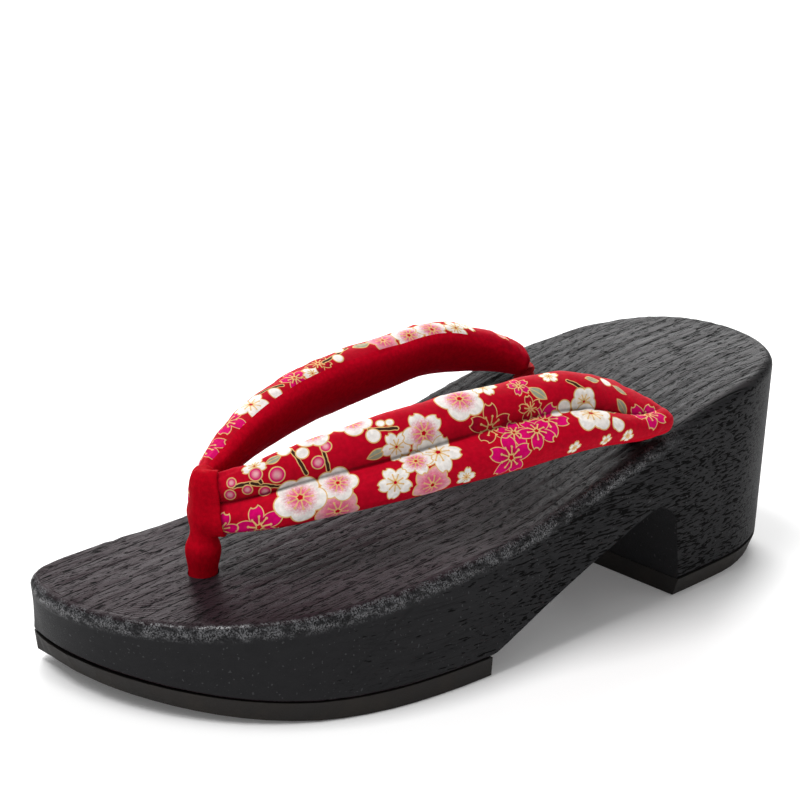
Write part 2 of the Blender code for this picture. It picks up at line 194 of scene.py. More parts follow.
class StrapSettings(bpy.types.PropertyGroup):
    """Sizes and colours of the padded strap."""

    wrinkle: bpy.props.FloatProperty(
        name="Wrinkle", description="Height of the soft wrinkles in the cloth", default=0.00036,
        unit="LENGTH")
    ground: bpy.props.FloatVectorProperty(
        name="Ground", description="Colour of the cotton under its print", size=3, subtype="COLOR",
        default=PRINT_COLORS["red"])
    lining: bpy.props.FloatVectorProperty(
        name="Lining", description="Colour of the plain lining", size=3, subtype="COLOR",
        default=(0.540, 0.000, 0.014))


class PostSettings(bpy.types.PropertyGroup):
    """Sizes and colours of the toe post and the knots."""

    fold: bpy.props.FloatProperty(
        name="Fold", description="Height of the gathered folds of the post", default=0.00020,
        unit="LENGTH")
    cloth: bpy.props.FloatVectorProperty(
        name="Cloth", description="Colour of the plain cloth", size=3, subtype="COLOR",
        default=(0.450, 0.000, 0.009))
    cord: bpy.props.FloatVectorProperty(
        name="Cord", description="Colour of the knotted cords", size=3, subtype="COLOR",
        default=(0.400, 0.010, 0.015))


class StageSettings(bpy.types.PropertyGroup):
    """Light and floor of the studio."""

    key: bpy.props.FloatProperty(
        name="Key light", description="Power of the large light over the heel", default=31.0,
        unit="POWER")
    fill: bpy.props.FloatProperty(
        name="Fill light", description="Power of the light on the camera's side", default=12.0,
        unit="POWER")
    sky: bpy.props.FloatProperty(
        name="Sky", description="Strength of the pale surroundings", default=0.36)
    glow: bpy.props.FloatProperty(
        name="Floor glow", description="Light that the white floor gives off itself", default=0.09)


# Shape functions shared with the frame


def blend(table, column, position):
    """Smooth value of one column of a table at a position in its first column."""
    at = [row[0] for row in table]
    value = [row[column] for row in table]
    last = len(at) - 1
    place = min(max(position, at[0]), at[last])
    left = max(i for i in range(last) if at[i] <= place or i == 0)
    slope = [(value[i + 1] - value[i]) / (at[i + 1] - at[i]) for i in range(last)]

    def tangent(i):
        if i in (0, last):
            return slope[min(i, last - 1)]
        before = at[i] - at[i - 1]
        after = at[i + 1] - at[i]
        return (slope[i - 1] * after + slope[i] * before) / (before + after)

    span = at[left + 1] - at[left]
    t = (place - at[left]) / span
    start = (2 * t ** 3 - 3 * t ** 2 + 1) * value[left] + (t ** 3 - 2 * t ** 2 + t) * span * tangent(left)
    end = (3 * t ** 2 - 2 * t ** 3) * value[left + 1] + (t ** 3 - t ** 2) * span * tangent(left + 1)
    return start + end


def ease(share):
    """Smooth step from 0 to 1."""
    t = min(max(share, 0.0), 1.0)
    return t * t * (3 - 2 * t)


def deck_height(y):
    """Height of the deck at a place along the sandal, counted from the toe."""
    return TOE_DECK_HEIGHT + blend(DECK, 1, y / LENGTH) * (HEEL_DECK_HEIGHT - TOE_DECK_HEIGHT)


def foot_height(y):
    """Height of the underside of the wood where rubber lies under it."""
    return RUBBER + GAP + TOE_SPRING * max(0.0, 1 - y / TOE_SPRING_LENGTH) ** 2


def plan_edge(y, side):
    """Point of the deck's edge, side 1 for the little toe side and -1 for the big toe side."""
    toe = min(max(1 - y / TOE_ROUND, 0.0), 1.0)
    heel = min(max(1 - (LENGTH - y) / HEEL_ROUND, 0.0), 1.0)
    width = BALL_WIDTH * blend(PLAN, 1, y / LENGTH)
    half = width * math.sqrt(max(0.0, 1 - toe ** 2)) * math.sqrt(max(0.0, 1 - heel ** 2))
    return Vector((BALL_WIDTH * blend(PLAN, 2, y / LENGTH) + side * half, y))


def edge_normal(y, side):
    """Outward direction of the deck's edge in plan."""
    if y <= 0.0:
        return Vector((0.0, -1.0))
    if y >= LENGTH:
        return Vector((0.0, 1.0))
    step = min(0.0005, y / 2, (LENGTH - y) / 2)
    along = plan_edge(y + step, side) - plan_edge(y - step, side)
    return Vector((along.y * side, -along.x * side)).normalized()


def wall_inset(y, normal):
    """How far the foot of the wall stands inside the deck's edge."""
    heelward = ease((y - ARCH_START) / (HEEL_START - ARCH_START))
    side = -SIDE_WALL_FLARE * (1 - heelward) + HEEL_WALL_SLANT * heelward
    toe = max(0.0, -normal.y) ** 2
    return side * (1 - toe) + TOE_WALL_SLANT * toe


def heel_hole(side):
    """Place of a heel hole in plan, side 1 for the little toe side and -1 for the big toe side."""
    return Vector((HEEL_HOLE_ACROSS + side * HEEL_HOLE_SPREAD,
                   HEEL_HOLE_ALONG + (INNER_HOLE_BACK if side < 0 else 0.0)))


def strap_place(share):
    """Middle of the strap at a share of its length, -1 at the big toe side's end and 1 at the other."""
    run = blend(STRAP, 1, share)
    spread = HEEL_HOLE_SPREAD * blend(STRAP, 2, share)
    y = TOE_HOLE_ALONG + run * (heel_hole(math.copysign(1.0, share)).y - TOE_HOLE_ALONG)
    middle = TOE_HOLE_ACROSS + run * (HEEL_HOLE_ACROSS - TOE_HOLE_ACROSS)
    return Vector((middle + spread - PLAN_SHIFT, y - LENGTH / 2,
                   deck_height(y) + STRAP_WIDTH * blend(STRAP, 3, share)))


def strap_axes(share):
    """Middle of the strap and the directions along it, across it and out of its printed face."""
    ahead = strap_place(min(share + 0.004, 1.0)) - strap_place(max(share - 0.004, -1.0))
    forward = ahead.normalized()
    level = Vector((forward.x, forward.y, 0.0)).normalized()
    outward = level.cross(Vector((0.0, 0.0, 1.0)))
    lean = math.radians(blend(STRAP, 6, share))
    edge = outward * math.cos(lean) - Vector((0.0, 0.0, math.sin(lean)))
    edge = (edge - forward * edge.dot(forward)).normalized()
    return strap_place(share), forward, edge, edge.cross(forward)


# Mesh helpers


def new_object(name, mesh):
    """Object of a mesh in the scene's collection."""
    made = bpy.data.objects.new(name, mesh)
    bpy.context.scene.collection.objects.link(made)
    return made


def finish_piece(piece, node_names, materials):
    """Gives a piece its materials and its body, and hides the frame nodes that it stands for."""
    for material in materials:
        piece.data.materials.append(material)
    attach(piece, "root")
    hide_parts(*node_names)


def settle(piece):
    """Turns a piece's modifiers into plain mesh."""
    evaluated = piece.evaluated_get(bpy.context.evaluated_depsgraph_get())
    mesh = bpy.data.meshes.new_from_object(evaluated)
    piece.modifiers.clear()
    piece.data = mesh


def grid_faces(work, rows, closed):
    """Quads between rows of bmesh vertices, each row closed on itself or open."""
    for low, high in zip(rows, rows[1:]):
        count = len(low)
        for i in range(count if closed else count - 1):
            j = (i + 1) % count
            corners = []
            for vert in (low[i], low[j], high[j], high[i]):
                if vert not in corners:
                    corners.append(vert)
            if len(corners) > 2:
                work.faces.new(corners)


def smooth_mesh(work, name, angle):
    """Mesh data of a bmesh, shaded smooth with sharp edges past an angle in degrees."""
    mesh = bpy.data.meshes.new(name)
    work.to_mesh(mesh)
    work.free()
    mesh.shade_smooth()
    mesh.set_sharp_from_angle(angle=math.radians(angle))
    return mesh


# Node helpers


def wire(tree, value, socket):
    """Links a socket to another, or sets its value."""
    if isinstance(value, bpy.types.NodeSocket):
        tree.links.new(value, socket)
    else:
        socket.default_value = value


def calc(tree, operation, *values):
    """Math node on one to three values."""
    node = tree.nodes.new("ShaderNodeMath")
    node.operation = operation
    for value, socket in zip(values, node.inputs):
        wire(tree, value, socket)
    return node.outputs[0]


def product(tree, first, *others):
    """Numbers multiplied together."""
    for value in others:
        first = calc(tree, "MULTIPLY", first, value)
    return first


def largest(tree, first, *others):
    """Largest of some numbers."""
    for value in others:
        first = calc(tree, "MAXIMUM", first, value)
    return first


def vector_calc(tree, operation, *values):
    """Vector math node; lengths, distances and dot products come out as a number."""
    node = tree.nodes.new("ShaderNodeVectorMath")
    node.operation = operation
    for value, socket in zip(values, node.inputs):
        wire(tree, value, socket)
    return node.outputs["Value" if operation in ("LENGTH", "DISTANCE", "DOT_PRODUCT") else "Vector"]


def sized(tree, vector, factor):
    """Vector multiplied by a number."""
    node = tree.nodes.new("ShaderNodeVectorMath")
    node.operation = "SCALE"
    wire(tree, vector, node.inputs[0])
    wire(tree, factor, node.inputs["Scale"])
    return node.outputs["Vector"]


def step_between(tree, value, low, high, start=0.0, end=1.0):
    """Smooth step of a value from low to high."""
    node = tree.nodes.new("ShaderNodeMapRange")
    node.interpolation_type = "SMOOTHSTEP"
    wire(tree, value, node.inputs["Value"])
    wire(tree, low, node.inputs["From Min"])
    wire(tree, high, node.inputs["From Max"])
    wire(tree, start, node.inputs["To Min"])
    wire(tree, end, node.inputs["To Max"])
    return node.outputs["Result"]


def noise_value(tree, vector, scale, detail=2.0, roughness=0.5):
    """Value of a noise texture, about 0.5 on average."""
    node = tree.nodes.new("ShaderNodeTexNoise")
    wire(tree, vector, node.inputs["Vector"])
    node.inputs["Scale"].default_value = scale
    node.inputs["Detail"].default_value = detail
    node.inputs["Roughness"].default_value = roughness
    return node.outputs["Fac"]


def mix_color(tree, share, first, second):
    """Mix of two colours."""
    node = tree.nodes.new("ShaderNodeMix")
    node.data_type = "RGBA"
    wire(tree, share, node.inputs[0])
    for value, index in ((first, 6), (second, 7)):
        if isinstance(value, bpy.types.NodeSocket):
            tree.links.new(value, node.inputs[index])
        else:
            node.inputs[index].default_value = (*value[:3], 1.0)
    return node.outputs[2]


def split(tree, vector):
    """The three parts of a vector."""
    node = tree.nodes.new("ShaderNodeSeparateXYZ")
    wire(tree, vector, node.inputs[0])
    return node.outputs


def join(tree, x, y, z=0.0):
    """Vector of three values."""
    node = tree.nodes.new("ShaderNodeCombineXYZ")
    for value, socket in zip((x, y, z), node.inputs):
        wire(tree, value, socket)
    return node.outputs[0]


def new_group(name, inputs, outputs):
    """Shader node group with named sockets; returns the tree, its inputs and its output node."""
    tree = bpy.data.node_groups.new(name, "ShaderNodeTree")
    for label, kind, value in inputs:
        socket = tree.interface.new_socket(name=label, in_out="INPUT", socket_type="NodeSocket" + kind)
        if value is not None:
            socket.default_value = value
    for label, kind in outputs:
        tree.interface.new_socket(name=label, in_out="OUTPUT", socket_type="NodeSocket" + kind)
    entry = tree.nodes.new("NodeGroupInput")
    leave = tree.nodes.new("NodeGroupOutput")
    return tree, entry.outputs, leave.inputs


def use_group(tree, group, **values):
    """Places a node group in a tree, its inputs given by name with underscores for spaces."""
    node = tree.nodes.new("ShaderNodeGroup")
    node.node_tree = group
    for label, value in values.items():
        wire(tree, value, node.inputs[label.replace("_", " ")])
    return node.outputs


def new_material(name, base_color, roughness):
    """Principled material; returns the material, its tree and its shader."""
    material = bpy.data.materials.new(name)
    material.use_nodes = True
    shader = material.node_tree.nodes["Principled BSDF"]
    shader.inputs["Base Color"].default_value = (*base_color[:3], 1.0)
    shader.inputs["Roughness"].default_value = roughness
    return material, material.node_tree, shader


def bump(tree, height, distance, strength):
    """Bump node; returns its normal."""
    node = tree.nodes.new("ShaderNodeBump")
    node.inputs["Strength"].default_value = strength
    node.inputs["Distance"].default_value = distance
    wire(tree, height, node.inputs["Height"])
    return node.outputs["Normal"]


def object_place(tree):
    """Object coordinates."""
    return tree.nodes.new("ShaderNodeTexCoord").outputs["Object"]


def attribute(tree, name):
    """Value of one of the piece's own attributes."""
    node = tree.nodes.new("ShaderNodeAttribute")
    node.attribute_name = name
    return node.outputs["Fac"]


def patch_value(tree, place, counts):
    """Noise with as many patches to a metre across, along and up as the three counts say."""
    return noise_value(tree, vector_calc(tree, "MULTIPLY", place, counts), 1.0, 2.0)


# Brushed wood

HEART_ACROSS = -0.085
HEART_HEIGHT = 0.046
HEART_TILT = -0.07
WARP_SIZE = 0.050
WARP_DEPTH = 0.0030
PORE_LENGTH = 0.0040
PORE_WIDTH = 0.00056
THREAD_LENGTH = 0.040
THREAD_WIDTH = 0.00044
RIM_FADE_START = 0.025
RIM_FADE_END = 0.065
GROOVE_LENGTH = 0.030
GROOVE_WIDTH = 0.0016
FUZZ_LENGTH = 0.0026
FUZZ_WIDTH = 0.00022
LINE_LENGTH = 0.014
LINE_WIDTH = 0.0020
CLOSED_WALL = -0.075
OPEN_WALL = 0.020
# Places along the sandal where the painted reflection of the red strap on the deck fades out and where it
# is full
STRAP_REFLECTION_END = 0.020
STRAP_REFLECTION_START = -0.040
CRUMB_RISE = 0.00035
HOLE_RIM = 0.008
HOLE_RIM_FADE = 0.002
WEAR_PATCHES = (60.0, 14.0, 60.0)
GLOSS_STREAKS = (420.0, 16.0, 420.0)
# Patches that break up the rim's crumbs and their painted glints
RIM_GLINT_PATCHES = (330.0, 330.0, 600.0)
# Painted shade: near black for the shade that falls in the brushed pores
PORE_SHADE_COLOR = (0.005, 0.005, 0.005)
# Painted light: lighter lacquer for the upright walls, standing in for the light they catch
WALL_PAINTED_LIGHT_COLOR = (0.0225, 0.0225, 0.0240)
# Painted highlight: light grey of the glints painted on the rim's crumbs
RIM_GLINT_COLOR = (0.185, 0.185, 0.195)
SPECK_COLOR = (0.080, 0.080, 0.084)


def grain_group():
    """Brushed pores and grooves between growth rings, from Object coordinates and the ring count."""
    tree, given, result = new_group(
        "Brushed grain",
        [("Place", "Vector", None), ("Rings", "Float", 0.0), ("End Grain", "Float", 0.0),
         ("Wall", "Float", 0.0)],
        [("Pores", "Float"), ("Hard", "Float"), ("Height", "Float")])
    x, y, z = split(tree, given["Place"])

    def strands(width, length):
        return join(tree, calc(tree, "DIVIDE", x, width), calc(tree, "DIVIDE", y, length),
                    calc(tree, "DIVIDE", z, width))

    saw = calc(tree, "FRACT", given["Rings"])
    calm = calc(tree, "MULTIPLY_ADD", given["End Grain"], -0.9, 1.0)
    flat = calc(tree, "MULTIPLY", calm, calc(tree, "MULTIPLY_ADD", given["Wall"], -0.8, 1.0))
    broken = noise_value(tree, strands(LINE_WIDTH, LINE_LENGTH), 1.0, 2.0)
    off_line = calc(tree, "ABSOLUTE", calc(tree, "SUBTRACT", saw, 0.08))
    line = product(tree, step_between(tree, off_line, 0.050, 0.012),
                   step_between(tree, broken, 0.38, 0.56), flat)
    early = calc(tree, "MULTIPLY", step_between(tree, saw, 0.75, 0.15), flat)
    net = noise_value(tree, strands(PORE_WIDTH, PORE_LENGTH), 1.0, 1.0)
    opened = step_between(tree, y, CLOSED_WALL, OPEN_WALL, -0.09, 0.10)
    limit = calc(tree, "MULTIPLY_ADD", given["Wall"], opened, 0.36)
    short = step_between(tree, net, calc(tree, "ADD", limit, 0.03), calc(tree, "SUBTRACT", limit, 0.05))
    short = calc(tree, "MULTIPLY", short, calm)
    threads = noise_value(tree, strands(THREAD_WIDTH, THREAD_LENGTH), 1.0, 2.0, 0.6)
    threads = step_between(tree, threads, 0.46, 0.34)
    threads = product(tree, threads, calc(tree, "MULTIPLY_ADD", early, 0.35, 0.60),
                      calc(tree, "MULTIPLY_ADD", given["Wall"], -0.6, 1.0), calm)
    pores = largest(tree, short, threads, line)
    fuzz = noise_value(tree, strands(FUZZ_WIDTH, FUZZ_LENGTH), 1.0, 2.0, 0.6)
    wire(tree, pores, result["Pores"])
    wire(tree, calc(tree, "MULTIPLY", step_between(tree, saw, 0.25, 0.85), flat), result["Hard"])
    wire(tree, calc(tree, "MULTIPLY_ADD", pores, -1.3, calc(tree, "MULTIPLY", fuzz, 0.35)),
         result["Height"])
    return tree


def wood_material(settings):
    """Black lacquered wood, its hard grain browner and its rim roughened into crumbs by the brush; painted
    glints on the rim's crumbs, painted shade in the pores, a painted red reflection of the strap on the
    forefoot and painted light lifting the upright walls.
    """
    material, tree, shader = new_material("black_wood_brushed", settings.lacquer, 0.5)
    place = object_place(tree)
    wall = attribute(tree, "wall")
    rim = attribute(tree, "rim")
    grain = use_group(tree, grain_group(), Place=place, Rings=attribute(tree, "rings"),
                      End_Grain=attribute(tree, "end_grain"), Wall=wall)

    wear = step_between(tree, patch_value(tree, place, WEAR_PATCHES), 0.3, 0.7, 0.3, 1.0)
    worn = calc(tree, "MULTIPLY", grain["Hard"], wear)
    color = mix_color(tree, worn, settings.lacquer, settings.worn)
    # Painted light: upright walls are painted lighter than the deck, standing in for the light that falls
    # on them
    color = mix_color(tree, calc(tree, "MULTIPLY", wall, 0.8), color, WALL_PAINTED_LIGHT_COLOR)
    # Painted reflection: the red strap's reflection painted as a maroon tint on the deck towards the toe,
    # not on the walls
    _, along, _ = split(tree, place)
    strap_reflection = product(tree, step_between(tree, along, STRAP_REFLECTION_END, STRAP_REFLECTION_START),
                   step_between(tree, wall, 0.6, 0.1), 0.8)
    color = mix_color(tree, strap_reflection, color, settings.forefoot)
    # Painted shade: the brushed pores and grooves are darkened where shade falls in them; their depth is
    # the real bump below
    color = mix_color(tree, grain["Pores"], color, PORE_SHADE_COLOR)

    # Painted highlight: light-grey glints painted on the rim's crumbs in broken patches; the same mask also
    # gives the crumbs their real coat and bump
    crumbs = noise_value(tree, place, 2300.0, 3.0, 0.7)
    glint_patches = step_between(tree, patch_value(tree, place, RIM_GLINT_PATCHES), 0.36, 0.60, 0.12, 1.0)
    crumbs_and_glints = product(tree, step_between(tree, crumbs, 0.42, 0.60), glint_patches, rim)
    color = mix_color(tree, crumbs_and_glints, color, RIM_GLINT_COLOR)
    speck = step_between(tree, noise_value(tree, place, 1300.0, 0.0), 0.75, 0.81)
    color = mix_color(tree, product(tree, speck, wall, 0.45), color, SPECK_COLOR)
    wire(tree, color, shader.inputs["Base Color"])

    wire(tree, step_between(tree, grain["Pores"], 0.0, 1.0, 0.46, 0.85), shader.inputs["Roughness"])
    gloss = step_between(tree, patch_value(tree, place, GLOSS_STREAKS), 0.35, 0.62, 0.25, 1.5)
    closed = step_between(tree, grain["Pores"], 0.6, 0.0, 0.0, 0.026)
    wire(tree, largest(tree, crumbs_and_glints, calc(tree, "MULTIPLY", closed, gloss)), shader.inputs["Coat Weight"])
    shader.inputs["Coat Roughness"].default_value = 0.27
    shader.inputs["Specular IOR Level"].default_value = 0.02
    height = calc(tree, "MULTIPLY_ADD", calc(tree, "MULTIPLY", rim, crumbs), 6.0, grain["Height"])
    wire(tree, bump(tree, height, 0.00022, 1.0), shader.inputs["Normal"])
    return material


def wall_share(normal):
    """1 where the surface stands upright, 0 where it faces up or down."""
    return ease((0.85 - abs(normal.z)) / 0.5)


def grain_at(point, normal, settings):
    """Number of growth rings from the heart, and how far the surface stands up, at a point."""
    calm = 1 - 0.85 * ease((abs(normal.y) - 0.15) / 0.5)
    warp = noise.noise(Vector((point.x, point.y * 0.22, point.z)) / WARP_SIZE)
    across = point.x - HEART_ACROSS - point.y * HEART_TILT
    radius = math.hypot(across, point.z - HEART_HEIGHT) + WARP_DEPTH * warp
    turns = radius / settings.ring_spacing
    saw = turns % 1.0
    year = noise.noise(Vector((math.floor(turns) * 3.7, 0.0, 0.0)))
    hard = ease((saw - 0.1) / 0.5) * ease((1.0 - saw) / 0.2) * (0.7 + 0.5 * year)
    thin = Vector((point.x / GROOVE_WIDTH, point.y / GROOVE_LENGTH, point.z / GROOVE_WIDTH))
    brushed = ease((noise.noise(thin) - 0.02) / 0.45)
    rings = settings.ring_depth * (hard - 0.5) * (1 - 0.7 * wall_share(normal))
    rings *= 1 - 0.6 * ease(-2 * normal.z)
    return turns, calm * (rings - settings.pore_depth * brushed)


def brush_grain(piece, settings):
    """Brushes the grain into a piece's surface and keeps what its material needs as attributes."""
    mesh = piece.data
    normals = [vert.normal.copy() for vert in mesh.vertices]
    hole = Vector((TOE_HOLE_ACROSS, TOE_HOLE_ALONG - LENGTH / 2))
    for name in ("rings", "rim", "end_grain", "wall"):
        mesh.attributes.new(name, "FLOAT", "POINT")
    layers = mesh.attributes
    for vert, normal in zip(mesh.vertices, normals):
        point = vert.co.copy()
        turns, height = grain_at(point, normal, settings)
        below_deck = deck_height(point.y + LENGTH / 2) - point.z
        # Rim mask: the rounded deck edge towards the toe, kept off the toe post's hole, which gets real
        # crumbs and their painted glints
        rim = ease(1.9 - below_deck / RIM_RADIUS) * ease((0.985 - normal.z) / 0.2)
        rim *= ease((RIM_FADE_END - point.y) / (RIM_FADE_END - RIM_FADE_START))
        rim *= ease((math.hypot(point.x - hole.x, point.y - hole.y) - HOLE_RIM) / HOLE_RIM_FADE)
        crumb = noise.noise(point * 900.0) * CRUMB_RISE * rim
        layers["rings"].data[vert.index].value = turns
        layers["rim"].data[vert.index].value = rim
        layers["end_grain"].data[vert.index].value = ease((abs(normal.y) - 0.10) / 0.45)
        layers["wall"].data[vert.index].value = wall_share(normal)
        vert.co = point + normal * (height + crumb)
    mesh.shade_smooth()
    mesh.set_sharp_from_angle(angle=math.radians(50))


TOE_ROWS = 44
HEEL_ROWS = 40
ARCH_STEP = 0.0016
ARCH_CORNER_STEPS = 16
RIM_STEPS = 5
DECK_POINTS = 150
WALL_POINTS = 70
UNDER_POINTS = 44
DRILL_SIDES = 48


def arch_path():
    """Points (y, z) of the underside from the arch's start to the heel's front foot."""
    foot = RUBBER + GAP
    wall_top = HEEL_START - HEEL_FRONT_SLANT
    middle = Vector((wall_top - ARCH_CORNER_RADIUS, ARCH_TOP - ARCH_CORNER_RADIUS))
    slope = math.atan2(ARCH_TOP - foot, ARCH_HIGH_POINT - ARCH_START)
    corners = [Vector((ARCH_START, foot))]
    for i in range(ARCH_CORNER_STEPS + 1):
        turn = (math.pi / 2 + slope) * (1 - i / ARCH_CORNER_STEPS)
        corners.append(middle + ARCH_CORNER_RADIUS * Vector((math.cos(turn), math.sin(turn))))
    corners.append(Vector((HEEL_START, foot)))
    points = [corners[0]]
    for low, high in zip(corners, corners[1:]):
        count = max(1, round((high - low).length / ARCH_STEP))
        points += [low.lerp(high, (i + 1) / count) for i in range(count)]
    return points


def base_stations():
    """For each section its place along the deck, and the place and height of its underside."""
    platform = [ARCH_START * (1 - math.cos(0.5 * math.pi * i / TOE_ROWS)) for i in range(TOE_ROWS)]
    rows = [(y, y, foot_height(y)) for y in platform]
    under = arch_path()
    count = len(under)
    for i, point in enumerate(under):
        top = ARCH_START + (HEEL_START - ARCH_START) * i / (count - 1)
        rows.append((top, point.x, point.y))
    for i in range(1, HEEL_ROWS + 1):
        y = HEEL_START + (LENGTH - HEEL_START) * math.sin(0.5 * math.pi * i / HEEL_ROWS)
        rows.append((y, y, foot_height(y)))
    return rows


def wall_point(y, z, side):
    """Point of the base's wall at a place along the deck's edge and a height."""
    normal = edge_normal(y, side)
    foot = foot_height(y) + FOOT_CHAMFER
    top = deck_height(y) - RIM_RADIUS
    inset = wall_inset(y, normal)
    if z > foot:
        inset *= max(0.0, (top - z) / (top - foot))
    else:
        inset += foot - z
    if z > top:
        inset = RIM_RADIUS - math.sqrt(max(0.0, RIM_RADIUS ** 2 - (z - top) ** 2))
    edge = plan_edge(y, side) - normal * inset
    return Vector((edge.x - PLAN_SHIFT, edge.y - LENGTH / 2, z))


def base_section(row):
    """Closed section of the base: deck, little toe side, underside, big toe side."""
    top_y, low_y, low_z = row
    walls = {}
    for side in (1, -1):
        column = []
        for i in range(RIM_STEPS):
            turn = 0.5 * math.pi * (1 - i / RIM_STEPS)
            z = deck_height(top_y) - RIM_RADIUS * (1 - math.sin(turn))
            column.append(wall_point(top_y, z, side))
        start = deck_height(top_y) - RIM_RADIUS
        for i in range(WALL_POINTS + 1):
            share = i / WALL_POINTS
            y = top_y + (low_y - top_y) * share
            column.append(wall_point(y, start + (low_z - start) * share, side))
        walls[side] = column
    section = []
    left = walls[-1][0]
    right = walls[1][0]
    for i in range(1, DECK_POINTS):
        section.append(left.lerp(right, i / DECK_POINTS))
    section += walls[1]
    for i in range(1, UNDER_POINTS):
        section.append(walls[1][-1].lerp(walls[-1][-1], i / UNDER_POINTS))
    section += walls[-1][::-1]
    return section


def base_block():
    """Wooden block before its holes are cut."""
    work = bmesh.new()
    rows = [[work.verts.new(point) for point in base_section(row)] for row in base_stations()]
    grid_faces(work, rows, True)
    bmesh.ops.remove_doubles(work, verts=work.verts, dist=0.00002)
    bmesh.ops.recalc_face_normals(work, faces=work.faces)
    return smooth_mesh(work, "carved_base", 50)


def drill(work, x, y, steps):
    """Adds to a bmesh a stepped drill from (radius, height) steps, listed from the bottom up."""
    rings = []
    turns = [2 * math.pi * i / DRILL_SIDES for i in range(DRILL_SIDES)]
    for radius, height in steps:
        rings.append([work.verts.new((x - PLAN_SHIFT + radius * math.cos(turn),
                                      y - LENGTH / 2 + radius * math.sin(turn), height)) for turn in turns])
    grid_faces(work, rings, True)
    work.faces.new(rings[0])
    work.faces.new(rings[-1])


def arch_ceiling(y):
    """Height of the underside of the arch at a place along the sandal."""
    foot = RUBBER + GAP
    share = (y - ARCH_START) / (ARCH_HIGH_POINT - ARCH_START)
    return min(ARCH_TOP, foot + share * (ARCH_TOP - foot))


def knot_places():
    """Name, plan place and height of each pocket's ceiling."""
    places = [("toe", TOE_HOLE_ACROSS, TOE_HOLE_ALONG, RUBBER + GAP + TOE_POCKET_DEPTH)]
    for side, label in ((1, "outer"), (-1, "inner")):
        hole = heel_hole(side)
        places.append((label, hole.x, hole.y, arch_ceiling(hole.y) + HEEL_POCKET_DEPTH))
    return places


class GETA_OT_base(bpy.types.Operator):
    """Carves the wooden base and drills its holes"""

    bl_idname = "geta.base"
    bl_label = "Wooden base"

    def execute(self, context):
        settings = context.scene.geta_base
        piece = new_object("carved_base", base_block())
        work = bmesh.new()
        for label, x, y, ceiling in knot_places():
            hole = POST_BASE_RADIUS + GAP if label == "toe" else CORD_RADIUS + CORD_CLEARANCE
            drill(work, x, y, ((POCKET_RADIUS, -RUBBER), (POCKET_RADIUS, ceiling), (hole, ceiling),
                               (hole, 2 * HEEL_DECK_HEIGHT)))
        bmesh.ops.recalc_face_normals(work, faces=work.faces)
        tool = new_object("drills", smooth_mesh(work, "drills", 40))
        boolean = piece.modifiers.new("Holes", "BOOLEAN")
        boolean.operation = "DIFFERENCE"
        boolean.object = tool
        boolean.solver = "EXACT"
        settle(piece)
        bpy.data.objects.remove(tool)
        brush_grain(piece, settings)
        finish_piece(piece, ["wooden_base"], [wood_material(settings)])
        return {"FINISHED"}


# Rubber soles


def rubber_material():
    """Matt dark rubber with a fine moulded grain and dusty patches."""
    material, tree, shader = new_material("sole_rubber_moulded", (0.020, 0.017, 0.016), 0.78)
    place = object_place(tree)
    patches = noise_value(tree, place, 90.0, 3.0)
    specks = noise_value(tree, place, 2600.0, 1.0)
    color = mix_color(tree, step_between(tree, patches, 0.35, 0.75), (0.018, 0.016, 0.015),
                      (0.029, 0.025, 0.022))
    wire(tree, color, shader.inputs["Base Color"])
    wire(tree, step_between(tree, patches, 0.3, 0.7, 0.70, 0.86), shader.inputs["Roughness"])
    wire(tree, bump(tree, specks, 0.00015, 0.5), shader.inputs["Normal"])
    shader.inputs["Specular IOR Level"].default_value = 0.22
    return material


class GETA_OT_soles(bpy.types.Operator):
    """Finishes the rubber under the forefoot and the heel"""

    bl_idname = "geta.soles"
    bl_label = "Rubber soles"

    def execute(self, context):
        rubber = rubber_material()
        for name in ("forefoot_sole", "heel_cap"):
            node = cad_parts[name]
            node.data.materials.clear()
            node.data.materials.append(rubber)
        return {"FINISHED"}


# Print of the strap

LINE = 0.00022
THREAD = 0.00034
# Painted shade along the strap's crease: how far above the crease it reaches, where it stops below the
# crease, and the width of the darker line on the crease
CREASE_SHADE = 0.0044
CREASE_LINE = 0.0003
CREASE_PINCH = 0.0008
GROUND_INPUTS = [("Color", "Color", None), ("Gold", "Float", 0.0), ("Place", "Vector", None)]
MOTIF_INPUTS = GROUND_INPUTS + [("Middle", "Vector", None), ("Radius", "Float", 0.005),
                                ("Turn", "Float", 0.0), ("Tip", "Color", None), ("Heart", "Color", None)]
MOTIF_OUTPUTS = [("Color", "Color"), ("Gold", "Float"), ("Place", "Vector")]


def local_frame(tree, given):
    """Angle about a motif's middle from its own turn, and distance in units of its radius."""
    from_middle = vector_calc(tree, "SUBTRACT", given["Place"], given["Middle"])
    local = sized(tree, from_middle, calc(tree, "DIVIDE", 1.0, given["Radius"]))
    x, y, _ = split(tree, local)
    angle = calc(tree, "SUBTRACT", calc(tree, "ARCTAN2", y, x), given["Turn"])
    return angle, vector_calc(tree, "LENGTH", local)


def hand_on(tree, given, result, color, inside, gold):
    """Ends a motif's group: its colour and gold over the ground's, and the place for the next motif.

    The place moves by a billionth of the colour, so the renderer works out one motif after another
    and never holds all of them at once.
    """
    wire(tree, color, result["Color"])
    under = calc(tree, "MULTIPLY", given["Gold"], calc(tree, "SUBTRACT", 1.0, inside))
    wire(tree, calc(tree, "MAXIMUM", under, gold), result["Gold"])
    order = vector_calc(tree, "MULTIPLY_ADD", color, (1e-9, 1e-9, 1e-9), given["Place"])
    wire(tree, order, result["Place"])


def line_mask(tree, distance, given, width):
    """1 within half a width of where a distance, in units of the radius, is 0."""
    real = calc(tree, "MULTIPLY", calc(tree, "ABSOLUTE", distance), given["Radius"])
    return step_between(tree, real, width, width * 0.45)


